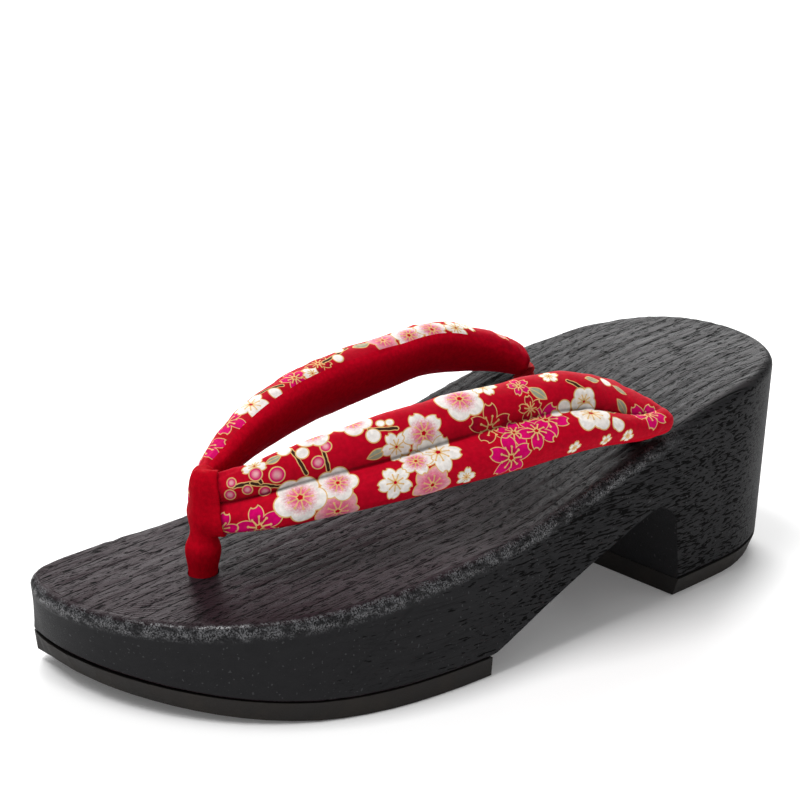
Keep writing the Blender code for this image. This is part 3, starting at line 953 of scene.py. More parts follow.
def fold_angle(tree, angle, count, reach):
    """Position in the nearest of equal wedges, along the wedge's middle and away from it."""
    wedge = math.pi / count
    shifted = calc(tree, "ADD", angle, 4 * math.pi + wedge)
    folded = calc(tree, "SUBTRACT", calc(tree, "FLOORED_MODULO", shifted, 2 * wedge), wedge)
    return (calc(tree, "MULTIPLY", calc(tree, "COSINE", folded), reach),
            calc(tree, "MULTIPLY", calc(tree, "SINE", folded), reach))


def blossom_group():
    """Five petalled blossom over a ground colour, with gold outline and stamens."""
    tree, given, result = new_group(
        "Blossom",
        MOTIF_INPUTS + [("Petal Width", "Float", 0.42), ("Notch", "Float", 0.0),
                        ("Heart Reach", "Float", 0.5)],
        MOTIF_OUTPUTS)
    angle, reach = local_frame(tree, given)
    along, aside = fold_angle(tree, angle, 5, reach)
    narrow = calc(tree, "DIVIDE", calc(tree, "MULTIPLY", aside, 0.44), given["Petal Width"])
    petal = calc(tree, "SUBTRACT",
                 vector_calc(tree, "DISTANCE", join(tree, along, narrow), (0.56, 0.0, 0.0)), 0.44)
    tip = vector_calc(tree, "DISTANCE", join(tree, along, aside), (1.03, 0.0, 0.0))
    petal = calc(tree, "MAXIMUM", petal, calc(tree, "SUBTRACT", given["Notch"], tip))
    inside = step_between(tree, petal, 0.012, -0.012)
    outline = line_mask(tree, petal, given, LINE)
    spoke_along, spoke_aside = fold_angle(tree, calc(tree, "ADD", angle, 0.2), 9, reach)
    spoke = line_mask(tree, spoke_aside, given, LINE * 1.1)
    spoke = calc(tree, "MULTIPLY", spoke, step_between(tree, reach, 0.46, 0.42))
    dot = vector_calc(tree, "DISTANCE", join(tree, spoke_along, spoke_aside), (0.46, 0.0, 0.0))
    dot = step_between(tree, dot, 0.065, 0.035)
    stamen = largest(tree, spoke, dot, step_between(tree, reach, 0.17, 0.10))
    gold = largest(tree, outline, calc(tree, "MULTIPLY", stamen, inside))
    soft = noise_value(tree, given["Place"], 2200.0, 1.0)
    reach = calc(tree, "MULTIPLY_ADD", calc(tree, "SUBTRACT", soft, 0.5), 0.45, reach)
    shade = step_between(tree, calc(tree, "SUBTRACT", reach, given["Heart Reach"]), -0.28, 0.28)
    fill = mix_color(tree, shade, given["Heart"], given["Tip"])
    over = mix_color(tree, inside, given["Color"], fill)
    hand_on(tree, given, result, over, inside, gold)
    return tree


def leaf_group():
    """Pointed leaf or round bud over a ground colour, with a gold outline."""
    tree, given, result = new_group(
        "Leaf", MOTIF_INPUTS + [("Width", "Float", 0.45), ("Bud", "Float", 0.0)], MOTIF_OUTPUTS)
    angle, reach = local_frame(tree, given)
    along = calc(tree, "MULTIPLY", calc(tree, "COSINE", angle), reach)
    aside = calc(tree, "ABSOLUTE", calc(tree, "MULTIPLY", calc(tree, "SINE", angle), reach))
    bow = calc(tree, "SUBTRACT", 1.0, calc(tree, "MULTIPLY", along, along))
    pointed = calc(tree, "SUBTRACT", aside, calc(tree, "MULTIPLY", bow, given["Width"]))
    round_bud = calc(tree, "SUBTRACT", reach, 1.0)
    side = calc(tree, "ADD", calc(tree, "MULTIPLY", round_bud, given["Bud"]),
                calc(tree, "MULTIPLY", pointed, calc(tree, "SUBTRACT", 1.0, given["Bud"])))
    inside = step_between(tree, side, 0.03, -0.03)
    outline = line_mask(tree, side, given, LINE)
    vein = calc(tree, "MULTIPLY", line_mask(tree, aside, given, LINE * 0.7),
                calc(tree, "SUBTRACT", 1.0, given["Bud"]))
    gold = largest(tree, outline, calc(tree, "MULTIPLY", vein, inside))
    fill = mix_color(tree, step_between(tree, reach, 0.15, 0.85), given["Heart"], given["Tip"])
    hand_on(tree, given, result, mix_color(tree, inside, given["Color"], fill), inside, gold)
    return tree


def twig_group():
    """Straight length of dark twig, its sides wavering, with gold edges over a ground colour."""
    tree, given, result = new_group(
        "Twig",
        GROUND_INPUTS + [("Start", "Vector", None), ("End", "Vector", None), ("Width", "Float", 0.0005)],
        MOTIF_OUTPUTS)
    from_start = vector_calc(tree, "SUBTRACT", given["Place"], given["Start"])
    along = vector_calc(tree, "SUBTRACT", given["End"], given["Start"])
    share = calc(tree, "DIVIDE", vector_calc(tree, "DOT_PRODUCT", from_start, along),
                 vector_calc(tree, "DOT_PRODUCT", along, along))
    nearest = calc(tree, "MINIMUM", calc(tree, "MAXIMUM", share, 0.0), 1.0)
    distance = vector_calc(tree, "DISTANCE", from_start, sized(tree, along, nearest))
    waver = noise_value(tree, given["Place"], 500.0, 1.0)
    distance = calc(tree, "MULTIPLY_ADD", calc(tree, "SUBTRACT", waver, 0.5), 0.0006, distance)
    inside = step_between(tree, distance, given["Width"], calc(tree, "MULTIPLY", given["Width"], 0.6))
    edge = calc(tree, "ABSOLUTE", calc(tree, "SUBTRACT", distance, given["Width"]))
    gold = step_between(tree, edge, LINE * 0.8, LINE * 0.3)
    bark = mix_color(tree, inside, given["Color"], PRINT_COLORS["bark"])
    hand_on(tree, given, result, bark, inside, gold)
    return tree


# Kinds of blossom: petal width, notch, tip, heart and how far the heart's colour reaches
BLOSSOMS = {
    "plum": (0.47, 0.00, "white", "pink", 0.50),
    "pink plum": (0.47, 0.00, "blush", "pink", 0.62),
    "white plum": (0.47, 0.00, "white", "blush", 0.22),
    "cream plum": (0.47, 0.00, "white", "cream", 0.40),
    "white cherry": (0.36, 0.13, "white", "cream", 0.25),
    "blush cherry": (0.38, 0.13, "white", "pink", 0.52),
    "magenta cherry": (0.31, 0.17, "magenta", "rose", 0.40),
    "red cherry": (0.31, 0.17, "deep", "red", 0.60),
}

# Kinds of leaf and bud: tip, heart and how round it is
LEAVES = {
    "leaf": ("leaf", "leaf", 0.0),
    "bud": ("magenta", "blush", 1.0),
    "white bud": ("white", "white", 1.0),
}

# Print of the arm on the little toe side, in millimetres: along from the fold, across from the
# crease towards the lower edge, radius and turn in degrees; a twig has the place of its other end
OUTER_PRINT = (
    ("twig", 10.4, -4.4, 15.2, -4.2),
    ("twig", 15.2, -4.2, 23.0, -0.5),
    ("twig", 16.7, -6.0, 17.6, -3.6),
    ("twig", 27.5, -10.5, 29.5, -2.0),
    ("twig", 35.1, -8.2, 35.3, -1.0),
    ("twig", 48.7, -8.6, 55.7, -6.6),
    ("twig", 110.8, -6.9, 115.2, -2.6),
    ("twig", 118.2, 6.8, 124.7, 5.4),
    ("white cherry", 16.8, -8.8, 3.6, 20),
    ("leaf", 22.4, -8.7, 2.4, -10),
    ("bud", 10.0, -5.6, 1.3, 0),
    ("bud", 8.9, -2.4, 1.5, 0),
    ("bud", 13.7, -2.7, 1.3, 0),
    ("bud", 17.9, -0.9, 1.6, 0),
    ("bud", 16.7, -6.3, 1.8, 0),
    ("bud", 22.1, -4.4, 2.1, 0),
    ("bud", 36.2, -7.4, 1.5, 0),
    ("bud", 33.1, -3.9, 1.7, 0),
    ("white bud", 30.0, -7.8, 1.7, 0),
    ("white bud", 25.9, -10.6, 1.9, 0),
    ("magenta cherry", 5.0, 7.0, 5.0, 10),
    ("magenta cherry", 14.5, 9.2, 6.2, 54),
    ("plum", 34.6, -13.2, 5.2, 0),
    ("plum", 45.5, -13.4, 5.6, 30),
    ("pink plum", 34.3, 12.2, 6.2, 30),
    ("plum", 36.3, 4.1, 5.4, 10),
    ("plum", 25.9, 4.8, 7.0, 24),
    ("white bud", 49.0, -6.6, 2.0, 0),
    ("white bud", 52.3, -9.6, 1.2, 0),
    ("white bud", 54.6, -9.0, 1.1, 0),
    ("leaf", 48.8, -1.4, 3.0, 170),
    ("white cherry", 54.4, -1.8, 4.4, 30),
    ("plum", 76.3, -10.3, 7.0, 45),
    ("blush cherry", 62.6, -3.2, 6.2, 41),
    ("white cherry", 50.4, 9.2, 4.8, 39),
    ("pink plum", 60.1, 13.2, 5.6, 20),
    ("white cherry", 64.6, 4.3, 6.5, 20),
    ("blush cherry", 57.8, 5.0, 4.7, 10),
    ("white cherry", 70.2, 13.7, 2.8, 0),
    ("white cherry", 85.6, -13.2, 4.2, 10),
    ("red cherry", 83.0, 0.1, 7.2, 60),
    ("magenta cherry", 95.8, -9.8, 3.7, 54),
    ("leaf", 100.3, -5.8, 3.1, 50),
    ("magenta cherry", 88.0, 4.4, 5.2, 10),
    ("magenta cherry", 99.5, 3.0, 6.8, 30),
    ("magenta cherry", 84.1, 11.5, 6.8, 60),
    ("magenta cherry", 94.3, 6.2, 5.8, 40),
    ("red cherry", 96.5, -2.2, 4.0, 54),
    ("white cherry", 106.7, -10.4, 2.8, 0),
    ("white bud", 104.0, 1.8, 1.5, 0),
    ("white bud", 107.5, 0.2, 2.1, 0),
    ("cream plum", 114.0, 0.0, 4.2, 30),
    ("cream plum", 113.3, 6.5, 6.1, 0),
    ("white bud", 120.2, 11.4, 2.1, 0),
    ("leaf", 119.4, -6.3, 2.7, 10),
    ("white bud", 125.3, -5.6, 1.8, 0),
    ("leaf", 129.2, -2.4, 2.7, 40),
    ("leaf", 127.8, 3.0, 2.9, 60),
    ("magenta cherry", 134.2, 8.1, 5.8, 30),
    ("white cherry", 124.5, 15.4, 2.2, 0),
    ("white cherry", 105.0, 14.6, 2.2, 0),
    ("white cherry", 116.3, 15.6, 2.0, 0),
)

# Upper band of the arm on the big toe side; below it the other arm's print is repeated
INNER_BAND = (
    ("red cherry", -15.0, 2.0, 5.6, 40),
    ("magenta cherry", -15.8, -6.9, 7.2, 20),
    ("magenta cherry", -27.7, -8.5, 6.2, 50),
    ("white cherry", -36.5, -11.6, 5.6, 20),
    ("twig", -42.0, -10.5, -49.0, -13.5),
    ("white bud", -45.0, -14.2, 2.0, 0),
    ("magenta cherry", -54.0, -14.0, 4.6, 30),
    ("white cherry", -60.0, -15.5, 3.2, 0),
    ("red cherry", -64.5, -13.2, 4.2, 10),
    ("twig", -66.0, -14.0, -77.0, -12.2),
    ("white bud", -71.0, -14.6, 1.6, 0),
    ("white bud", -74.5, -11.4, 1.5, 0),
    ("leaf", -82.0, -13.0, 3.2, 0),
    ("pink plum", -89.5, -13.8, 4.9, 20),
    ("plum", -98.8, -14.8, 5.3, 30),
    ("blush cherry", -107.2, -14.6, 5.6, 10),
    ("white cherry", -115.4, -14.0, 3.7, 0),
    ("white cherry", -120.0, -10.6, 3.2, 20),
    ("pink plum", -133.0, -9.0, 2.8, 0),
)
BAND_EDGE = -6.0


def inner_print():
    """Print of the arm on the big toe side: the other arm's mirrored, under its own upper band."""
    rows = []
    for kind, along, across, size, turn in OUTER_PRINT:
        if across < BAND_EDGE:
            continue
        if kind == "twig":
            rows.append((kind, -along, across, -size, turn))
        else:
            rows.append((kind, -along, across, size, 180 - turn))
    return tuple(rows) + INNER_BAND


def print_material(name, motifs, settings):
    """Cotton printed with the motifs of one arm, in the order that they lie over each other."""
    material, tree, shader = new_material(name, settings.ground, 0.78)
    place = tree.nodes.new("ShaderNodeUVMap")
    place.uv_map = "cloth"
    uv = place.outputs["UV"]
    blossom = bpy.data.node_groups.get("Blossom") or blossom_group()
    leaf = bpy.data.node_groups.get("Leaf") or leaf_group()
    twig = bpy.data.node_groups.get("Twig") or twig_group()
    color = (*settings.ground, 1.0)
    gold = 0.0
    for kind, along, across, size, turn in motifs:
        ground = {"Color": color, "Gold": gold, "Place": uv}
        middle = (along / 1000, across / 1000, 0.0)
        if kind == "twig":
            out = use_group(tree, twig, **ground, Start=middle, End=(size / 1000, turn / 1000, 0.0))
        else:
            if kind in BLOSSOMS:
                group = blossom
                width, notch, tip, heart, heart_reach = BLOSSOMS[kind]
                form = {"Petal_Width": width, "Notch": notch, "Heart_Reach": heart_reach}
            else:
                group = leaf
                tip, heart, bud = LEAVES[kind]
                form = {"Bud": bud}
            out = use_group(tree, group, **ground, Middle=middle, Radius=size / 1000,
                            Turn=math.radians(turn), Tip=(*PRINT_COLORS[tip], 1.0),
                            Heart=(*PRINT_COLORS[heart], 1.0), **form)
        color = out["Color"]
        gold = out["Gold"]
        uv = out["Place"]
    color = mix_color(tree, gold, color, PRINT_COLORS["gold"])
    # Painted shade: the print is darkened above the crease and along its line, where shade falls in the
    # fold
    off = attribute(tree, "crease_off")
    shade_above_crease = calc(tree, "MULTIPLY", step_between(tree, off, -CREASE_SHADE, 0.0),
                 step_between(tree, off, CREASE_LINE, -CREASE_LINE))
    shade_on_crease_line = step_between(tree, calc(tree, "ABSOLUTE", off), CREASE_PINCH, 0.0)
    dark = calc(tree, "MULTIPLY", calc(tree, "MULTIPLY_ADD", shade_above_crease, -0.28, 1.0),
                calc(tree, "MULTIPLY_ADD", shade_on_crease_line, -0.60, 1.0))
    finish_cloth(tree, shader, uv, color, dark)
    return material


def finish_cloth(tree, shader, uv, color, dark):
    """Slub and thread of cotton, with painted shade darkening the print in the crease."""
    x, y, _ = split(tree, uv)
    warp = calc(tree, "SINE", calc(tree, "MULTIPLY", x, 2 * math.pi / THREAD))
    weft = calc(tree, "SINE", calc(tree, "MULTIPLY", y, 2 * math.pi / THREAD))
    weave = calc(tree, "MULTIPLY", warp, weft)
    slub = noise_value(tree, uv, 700.0, 3.0)
    # Cotton slub tone, times the painted crease shade
    shade = calc(tree, "MULTIPLY", step_between(tree, slub, 0.25, 0.8, 0.80, 1.06), dark)
    wire(tree, sized(tree, color, shade), shader.inputs["Base Color"])
    height = calc(tree, "MULTIPLY_ADD", slub, 1.5, calc(tree, "MULTIPLY", weave, 0.5))
    wire(tree, bump(tree, height, 0.00006, 0.6), shader.inputs["Normal"])
    shader.inputs["Specular IOR Level"].default_value = 0.06


def plain_cloth(name, color):
    """Plain napped cotton."""
    material, tree, shader = new_material(name, color, 0.85)
    place = object_place(tree)
    tint = mix_color(tree, step_between(tree, noise_value(tree, place, 900.0, 3.0), 0.3, 0.7),
                     [c * 0.78 for c in color], color)
    nap = noise_value(tree, place, 3200.0, 2.0)
    wire(tree, tint, shader.inputs["Base Color"])
    wire(tree, bump(tree, nap, 0.00012, 0.5), shader.inputs["Normal"])
    shader.inputs["Sheen Weight"].default_value = 0.10
    shader.inputs["Sheen Roughness"].default_value = 0.4
    shader.inputs["Sheen Tint"].default_value = (*color[:3], 1.0)
    shader.inputs["Specular IOR Level"].default_value = 0.04
    return material


# Padded strap

STRAP_ROWS = 300
SECTION_POINTS = 96
SEAM_PINCH = 0.0010
CREASE_END = 0.15
PRINT_EDGE_LOWER = -0.10
PRINT_EDGE_UPPER = 0.02
INNER_PLACE = 1
LINING_PLACE = 2


def strap_wrinkle(share, along, turn, settings):
    """Height of the soft wrinkles round a section, gathered at the fold and at the strap's ends."""
    pull = noise.noise(Vector((along * 110.0, math.cos(turn) * 1.3, math.sin(turn) * 1.3)))
    fine = noise.noise(Vector((along * 520.0, math.cos(turn) * 2.6, math.sin(turn) * 2.6 + 7.0)))
    printed = math.sin(turn) > 0
    crease = math.exp(-(math.cos(turn) / 0.35) ** 2) if printed else 0.0
    calm = 1.0 if printed else 0.35
    round_place = Vector((0.0, math.cos(turn), math.sin(turn)))
    end = ease((abs(share) - 0.76) / 0.16)
    gather = end * noise.noise(round_place * 2.0 + Vector((along * 430.0, 3.0, 0.0)))
    fold = ease((0.20 - abs(share)) / 0.12)
    gather += fold * noise.noise(round_place * 3.4 + Vector((along * 70.0, 9.0, 0.0)))
    return settings.wrinkle * calm * (1.5 * pull + fine * (0.35 + 0.9 * crease) + 1.3 * gather)


def strap_shares():
    """Shares of the strap's length at which it has a section, closer together at the fold."""
    half = STRAP_ROWS // 2
    return [math.copysign(abs(i / half) ** 1.25, i) for i in range(-half, half + 1)]


def strap_ring(share, along, settings):
    """Points of one section of the strap, and how far each is from the crease across its face."""
    centre, forward, edge, face = strap_axes(share)
    width = STRAP_WIDTH * blend(STRAP, 4, share) / 2
    thickness = STRAP_THICKNESS * blend(STRAP, 5, share) / 2
    fading = max(ease((1 - abs(share)) / CREASE_END), 0.02)
    crease = CREASE_DEPTH * blend(STRAP, 5, share) * fading
    crease_place = width * blend(STRAP, 7, share)
    ring = []
    offs = []
    for k in range(SECTION_POINTS + 1):
        turn = 2 * math.pi * k / SECTION_POINTS + 0.5 * math.pi
        cosine = math.cos(turn)
        sine = math.sin(turn)
        across = math.copysign(abs(cosine) ** STRAP_SQUARENESS, cosine) * width
        out = math.copysign(abs(sine) ** STRAP_SQUARENESS, sine) * thickness
        off = (across - crease_place) / fading if out > 0 else width / fading
        offs.append(off)
        if out > 0:
            soft = math.exp(-(off * fading / CREASE_WIDTH) ** 2)
            sharp = math.exp(-abs(off) * fading / SEAM_PINCH)
            out -= crease * (0.95 * soft + 0.85 * sharp)
        radial = edge * (across / width) + face * (out / thickness)
        swell = strap_wrinkle(share, along, turn, settings)
        ring.append(centre + edge * across + face * out + radial * swell)
    return ring, offs


def strap_mesh(settings):
    """Strap with the cloth map: along from the fold and across from the crease, in metres."""
    work = bmesh.new()
    layer = work.loops.layers.uv.new("cloth")
    # Distance from the crease across the printed face, which places the painted crease shade
    off_layer = work.verts.layers.float.new("crease_off")
    shares = strap_shares()
    middle = len(shares) // 2
    places = [strap_place(share) for share in shares]
    steps = [0.0] + [(b - a).length for a, b in zip(places, places[1:])]
    total = np.cumsum(steps)
    total -= total[middle]
    half = SECTION_POINTS // 2
    rows = []
    maps = []
    for share, along in zip(shares, total):
        ring, offs = strap_ring(share, along, settings)
        around = np.cumsum([0.0] + [(b - a).length for a, b in zip(ring, ring[1:])])
        across = [-a if k <= half else around[-1] - a for k, a in enumerate(around)]
        verts = [work.verts.new(point) for point in ring[:-1]]
        for vert, off in zip(verts, offs):
            vert[off_layer] = off
        rows.append(verts)
        maps.append((along, across, around[-1]))
    for i in range(len(rows) - 1):
        for k in range(SECTION_POINTS):
            j = (k + 1) % SECTION_POINTS
            face = work.faces.new((rows[i][k], rows[i][j], rows[i + 1][j], rows[i + 1][k]))
            corners = ((i, k), (i, k + 1), (i + 1, k + 1), (i + 1, k))
            for loop, (row, column) in zip(face.loops, corners):
                along, across, girth = maps[row]
                value = across[column]
                if column == half and k >= half:
                    value = girth - abs(across[half])
                loop[layer].uv = (along, value)
            turn = 2 * math.pi * (k + 0.5) / SECTION_POINTS + 0.5 * math.pi
            edge = PRINT_EDGE_LOWER if math.cos(turn) > 0 else PRINT_EDGE_UPPER
            if math.sin(turn) <= edge:
                face.material_index = LINING_PLACE
            elif shares[i] < 0:
                face.material_index = INNER_PLACE
    for row in (rows[0], rows[-1]):
        face = work.faces.new(row)
        face.material_index = LINING_PLACE
    bmesh.ops.recalc_face_normals(work, faces=work.faces)
    return smooth_mesh(work, "strap_cover", 60)


class GETA_OT_strap(bpy.types.Operator):
    """Sews the padded strap with its print and its lining"""

    bl_idname = "geta.strap"
    bl_label = "Padded strap"

    def execute(self, context):
        settings = context.scene.geta_strap
        piece = new_object("strap_cover", strap_mesh(settings))
        materials = [print_material("printed_cotton_outer", OUTER_PRINT, settings),
                     print_material("printed_cotton_inner", inner_print(), settings),
                     plain_cloth("lining_cotton", settings.lining)]
        finish_piece(piece, ["strap"], materials)
        return {"FINISHED"}


# Toe post, cords and knots

POST_VOXEL = 0.00034
POST_SMOOTHING = 30
POST_FOLD_LENGTH = 0.020
CORD_SIDES = 24
CORD_STRANDS = 3
CORD_GROOVE = 0.14
CORD_STEPS = 60
CORD_TURNS = 4
KNOT_STEPS = 144
KNOT_TURNS = 8
KNOT_CORD_RADIUS = 0.0014
KNOT_REACH = 0.0036
KNOT_LOOP = 0.0016
KNOT_DROP = 0.0032
KNOT_WAVE = 0.0013
CORD_TAIL = 0.0030


def merged_copy(name, node_name):
    """Copy of a frame node's mesh with its loose triangles merged."""
    work = bmesh.new()
    work.from_mesh(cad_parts[node_name].data)
    bmesh.ops.remove_doubles(work, verts=work.verts, dist=0.00001)
    return new_object(name, smooth_mesh(work, name, 60))


class GETA_OT_toe_post(bpy.types.Operator):
    """Wraps the plain cloth of the toe post round the fold of the strap"""

    bl_idname = "geta.toe_post"
    bl_label = "Toe post"

    def execute(self, context):
        settings = context.scene.geta_post
        piece = merged_copy("toe_post_wrap", "toe_post")
        remesh = piece.modifiers.new("Remesh", "REMESH")
        remesh.mode = "VOXEL"
        remesh.voxel_size = POST_VOXEL
        smooth = piece.modifiers.new("Smooth", "SMOOTH")
        smooth.iterations = POST_SMOOTHING
        smooth.factor = 0.5
        settle(piece)
        axis = Vector((TOE_HOLE_ACROSS - PLAN_SHIFT, TOE_HOLE_ALONG - LENGTH / 2, 0.0))
        mesh = piece.data
        deck = deck_height(TOE_HOLE_ALONG)
        normals = [vert.normal.copy() for vert in mesh.vertices]
        for vert, normal in zip(mesh.vertices, normals):
            point = vert.co - axis
            around = math.atan2(point.y, point.x)
            height = (point.z - deck) / POST_FOLD_LENGTH
            place = Vector((math.cos(around) * 1.7, math.sin(around) * 1.7, height * 1.6))
            vert.co += normal * settings.fold * noise.noise(place)
        mesh.shade_smooth()
        finish_piece(piece, ["toe_post"],
                     [plain_cloth("red_cloth_napped", settings.cloth)])
        return {"FINISHED"}


def cord_tree():
    """Geometry node tree that turns a path of edges into a twisted cord of a few strands."""
    tree = bpy.data.node_groups.new("Twisted cord", "GeometryNodeTree")
    for label, kind in (("Geometry", "Geometry"), ("Radius", "Float"), ("Strands", "Int"),
                        ("Turns", "Int"), ("Groove", "Float"), ("Material", "Material")):
        tree.interface.new_socket(name=label, in_out="INPUT", socket_type="NodeSocket" + kind)
    tree.interface.new_socket(name="Geometry", in_out="OUTPUT", socket_type="NodeSocketGeometry")
    given = tree.nodes.new("NodeGroupInput").outputs
    result = tree.nodes.new("NodeGroupOutput").inputs
    circle = tree.nodes.new("GeometryNodeCurvePrimitiveCircle")
    circle.inputs["Resolution"].default_value = CORD_SIDES
    circle.inputs["Radius"].default_value = 1.0
    x, y, _ = split(tree, tree.nodes.new("GeometryNodeInputPosition").outputs[0])
    angle = calc(tree, "MULTIPLY", calc(tree, "ARCTAN2", y, x), given["Strands"])
    bulge = calc(tree, "MULTIPLY_ADD", calc(tree, "COSINE", angle), given["Groove"], 1.0)
    reach = calc(tree, "MULTIPLY", bulge, given["Radius"])
    section = tree.nodes.new("GeometryNodeSetPosition")
    wire(tree, circle.outputs["Curve"], section.inputs["Geometry"])
    wire(tree, join(tree, calc(tree, "MULTIPLY", x, reach), calc(tree, "MULTIPLY", y, reach)),
         section.inputs["Position"])
    path = tree.nodes.new("GeometryNodeMeshToCurve")
    wire(tree, given["Geometry"], path.inputs["Mesh"])
    tilt = tree.nodes.new("GeometryNodeSetCurveTilt")
    share = tree.nodes.new("GeometryNodeSplineParameter").outputs["Factor"]
    turned = calc(tree, "MULTIPLY", calc(tree, "MULTIPLY", share, 2 * math.pi), given["Turns"])
    wire(tree, path.outputs["Curve"], tilt.inputs["Curve"])
    wire(tree, turned, tilt.inputs["Tilt"])
    tube = tree.nodes.new("GeometryNodeCurveToMesh")
    wire(tree, tilt.outputs["Curve"], tube.inputs["Curve"])
    wire(tree, section.outputs["Geometry"], tube.inputs["Profile Curve"])
    tube.inputs["Fill Caps"].default_value = True
    real = tree.nodes.new("GeometryNodeRealizeInstances")
    wire(tree, tube.outputs["Mesh"], real.inputs["Geometry"])
    cloth = tree.nodes.new("GeometryNodeSetMaterial")
    wire(tree, real.outputs["Geometry"], cloth.inputs["Geometry"])
    wire(tree, given["Material"], cloth.inputs["Material"])
    wire(tree, cloth.outputs["Geometry"], result["Geometry"])
    return tree


def knot_path(x, y, ceiling):
    """Closed path of a tied knot: three loops under a pocket's ceiling."""
    path = []
    for i in range(KNOT_STEPS):
        turn = 2 * math.pi * i / KNOT_STEPS
        reach = KNOT_REACH + KNOT_LOOP * math.cos(3 * turn)
        path.append(Vector((x - PLAN_SHIFT + reach * math.cos(2 * turn),
                            y - LENGTH / 2 + reach * math.sin(2 * turn),
                            ceiling - GAP - KNOT_DROP + KNOT_WAVE * math.sin(3 * turn))))
    return path


def cord_path(x, y, ceiling):
    """Path of a cord from its knot up through its hole into the strap's end."""
    low = ceiling - CORD_TAIL
    top = deck_height(y) + STRAP_CORD_RISE
    return [Vector((x - PLAN_SHIFT, y - LENGTH / 2, low + (top - low) * i / CORD_STEPS))
            for i in range(CORD_STEPS + 1)]


def twisted_cord(name, paths, closed, radius, turns, material):
    """Piece of twisted cord along one or more paths."""
    points = []
    edges = []
    for path in paths:
        first = len(points)
        points += path
        edges += [(first + i, first + i + 1) for i in range(len(path) - 1)]
        if closed:
            edges.append((first + len(path) - 1, first))
    mesh = bpy.data.meshes.new(name)
    mesh.from_pydata(points, edges, [])
    piece = new_object(name, mesh)
    tree = bpy.data.node_groups.get("Twisted cord") or cord_tree()
    modifier = piece.modifiers.new("Cord", "NODES")
    modifier.node_group = tree
    values = {"Radius": radius, "Strands": CORD_STRANDS, "Turns": turns, "Groove": CORD_GROOVE,
              "Material": material}
    for socket in tree.interface.items_tree:
        if socket.in_out == "INPUT" and socket.name in values:
            modifier[socket.identifier] = values[socket.name]
    settle(piece)
    piece.data.shade_smooth()
    return piece


class GETA_OT_cords(bpy.types.Operator):
    """Leads the strap's cords through the heel holes and ties the knots under the base"""

    bl_idname = "geta.cords"
    bl_label = "Cords and knots"

    def execute(self, context):
        settings = context.scene.geta_post
        cloth = plain_cloth("cord_cloth_knotted", settings.cord)
        paths = []
        for label, x, y, ceiling in knot_places():
            piece = twisted_cord(label + "_cord_knot", [knot_path(x, y, ceiling)], True, KNOT_CORD_RADIUS,
                                 KNOT_TURNS, cloth)
            finish_piece(piece, [label + "_knot"], [])
            if label != "toe":
                paths.append(cord_path(x, y, ceiling))
        piece = twisted_cord("strap_cords", paths, False, CORD_RADIUS, CORD_TURNS, cloth)
        finish_piece(piece, ["strap"], [])
        return {"FINISHED"}


# Stage


FLOOR_HALF = 4.0
FLOOR_GAP = 0.0002
LIGHT_TARGET = Vector((0.0, 0.0, 0.03))
BACK_LIGHT_PLACE = Vector((-1.05, 0.95, 0.75))
BACK_LIGHT_SIZE = 1.1
TOP_LIGHT_PLACE = Vector((-0.10, -0.40, 1.20))
TOP_LIGHT_SIZE = 0.6


def area_light(name, place, size, power):
    """Square area light that faces the sandal."""
    light = bpy.data.lights.new(name, "AREA")
    light.shape = "SQUARE"
    light.size = size
    light.energy = power
    made = new_object(name, light)
    made.location = place
    made.rotation_euler = (LIGHT_TARGET - place).to_track_quat("-Z", "Y").to_euler()
    made.visible_camera = False


def studio_floor(glow):
    """White floor just under the soles, which gives off a little light itself."""
    work = bmesh.new()
    bmesh.ops.create_grid(work, x_segments=1, y_segments=1, size=FLOOR_HALF)
    bmesh.ops.translate(work, verts=work.verts, vec=(0.0, 0.0, -FLOOR_GAP))
    floor = new_object("floor", smooth_mesh(work, "floor", 30))
    material, _, shader = new_material("floor_white", (0.95, 0.95, 0.95), 0.9)
    shader.inputs["Specular IOR Level"].default_value = 0.0
    shader.inputs["Emission Color"].default_value = (1.0, 1.0, 1.0, 1.0)
    shader.inputs["Emission Strength"].default_value = glow
    floor.data.materials.append(material)


def photo_camera():
    """Camera at the photograph's angle."""
    turn = (Matrix.Rotation(math.radians(CAMERA_AZIMUTH), 3, "Z")
            @ Matrix.Rotation(math.radians(90 - CAMERA_ELEVATION), 3, "X")
            @ Matrix.Rotation(math.radians(CAMERA_ROLL), 3, "Z"))
    lens = bpy.data.cameras.new("camera")
    lens.lens = CAMERA_LENS
    lens.sensor_width = CAMERA_SENSOR
    camera = new_object("camera", lens)
    camera.matrix_world = (Matrix.Translation(CAMERA_TARGET + turn @ Vector((0, 0, CAMERA_DISTANCE)))
                           @ turn.to_4x4())
    return camera


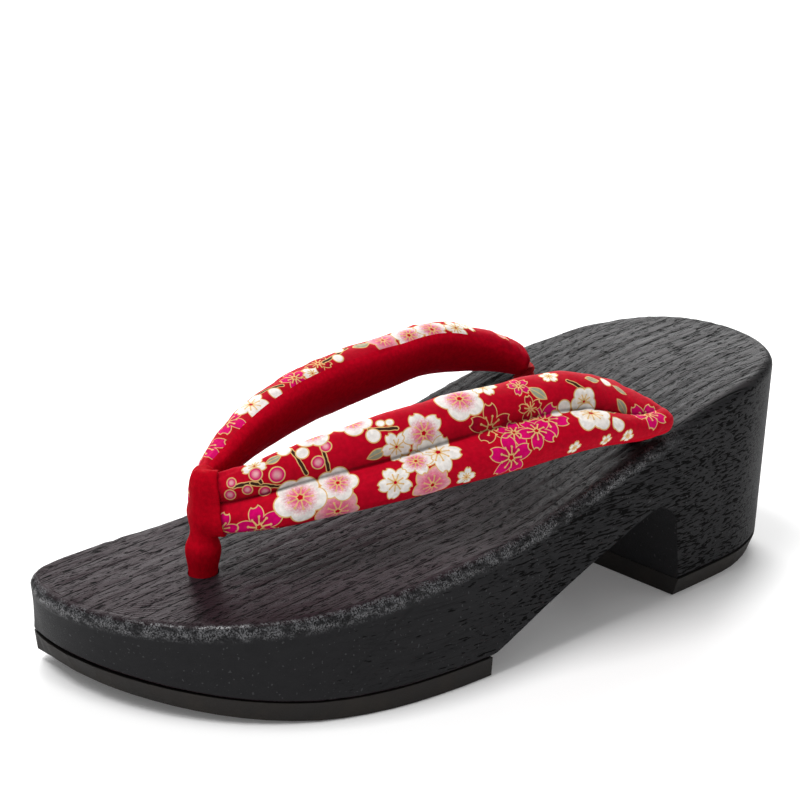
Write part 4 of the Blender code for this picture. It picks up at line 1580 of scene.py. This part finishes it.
class GETA_OT_stage(bpy.types.Operator):
    """Sets the pale floor, the soft lights and the camera at the photograph's angle"""

    bl_idname = "geta.stage"
    bl_label = "Stage"

    def execute(self, context):
        settings = context.scene.geta_stage
        studio_floor(settings.glow)
        world = bpy.data.worlds.new("studio")
        world.use_nodes = True
        world.node_tree.nodes["Background"].inputs["Color"].default_value = (1.0, 1.0, 1.0, 1.0)
        world.node_tree.nodes["Background"].inputs["Strength"].default_value = settings.sky
        context.scene.world = world
        context.scene.view_settings.view_transform = "Standard"
        area_light("back_light", BACK_LIGHT_PLACE, BACK_LIGHT_SIZE, settings.key)
        area_light("top_light", TOP_LIGHT_PLACE, TOP_LIGHT_SIZE, settings.fill)
        context.scene.camera = photo_camera()
        return {"FINISHED"}


class GETA_PT_panel(bpy.types.Panel):
    """Pieces of the sandal in the sidebar"""

    bl_idname = "GETA_PT_panel"
    bl_label = "Geta sandal"
    bl_space_type = "VIEW_3D"
    bl_region_type = "UI"
    bl_category = "Geta"

    def draw(self, context):
        for operator in OPERATORS:
            self.layout.operator(operator.bl_idname)
        for name in SETTINGS:
            group = getattr(context.scene, name)
            box = self.layout.box()
            for prop in group.bl_rna.properties:
                if prop.identifier not in ("rna_type", "name"):
                    box.prop(group, prop.identifier)


OPERATORS = (GETA_OT_stage, GETA_OT_base, GETA_OT_soles, GETA_OT_strap, GETA_OT_toe_post, GETA_OT_cords)
SETTINGS = {"geta_base": BaseSettings, "geta_strap": StrapSettings, "geta_post": PostSettings,
            "geta_stage": StageSettings}


def register():
    """Registers the settings, the operators and the panel."""
    for name, group in SETTINGS.items():
        bpy.utils.register_class(group)
        setattr(bpy.types.Scene, name, bpy.props.PointerProperty(type=group))
    for operator in OPERATORS:
        bpy.utils.register_class(operator)
    bpy.utils.register_class(GETA_PT_panel)


def unregister():
    """Takes everything that register made away again."""
    bpy.utils.unregister_class(GETA_PT_panel)
    for operator in reversed(OPERATORS):
        bpy.utils.unregister_class(operator)
    for name, group in SETTINGS.items():
        delattr(bpy.types.Scene, name)
        bpy.utils.unregister_class(group)


def main():
    """Builds every piece."""
    register()
    bpy.ops.geta.stage()
    bpy.ops.geta.base()
    bpy.ops.geta.soles()
    bpy.ops.geta.strap()
    bpy.ops.geta.toe_post()
    bpy.ops.geta.cords()


if __name__ == "__main__":
    main()
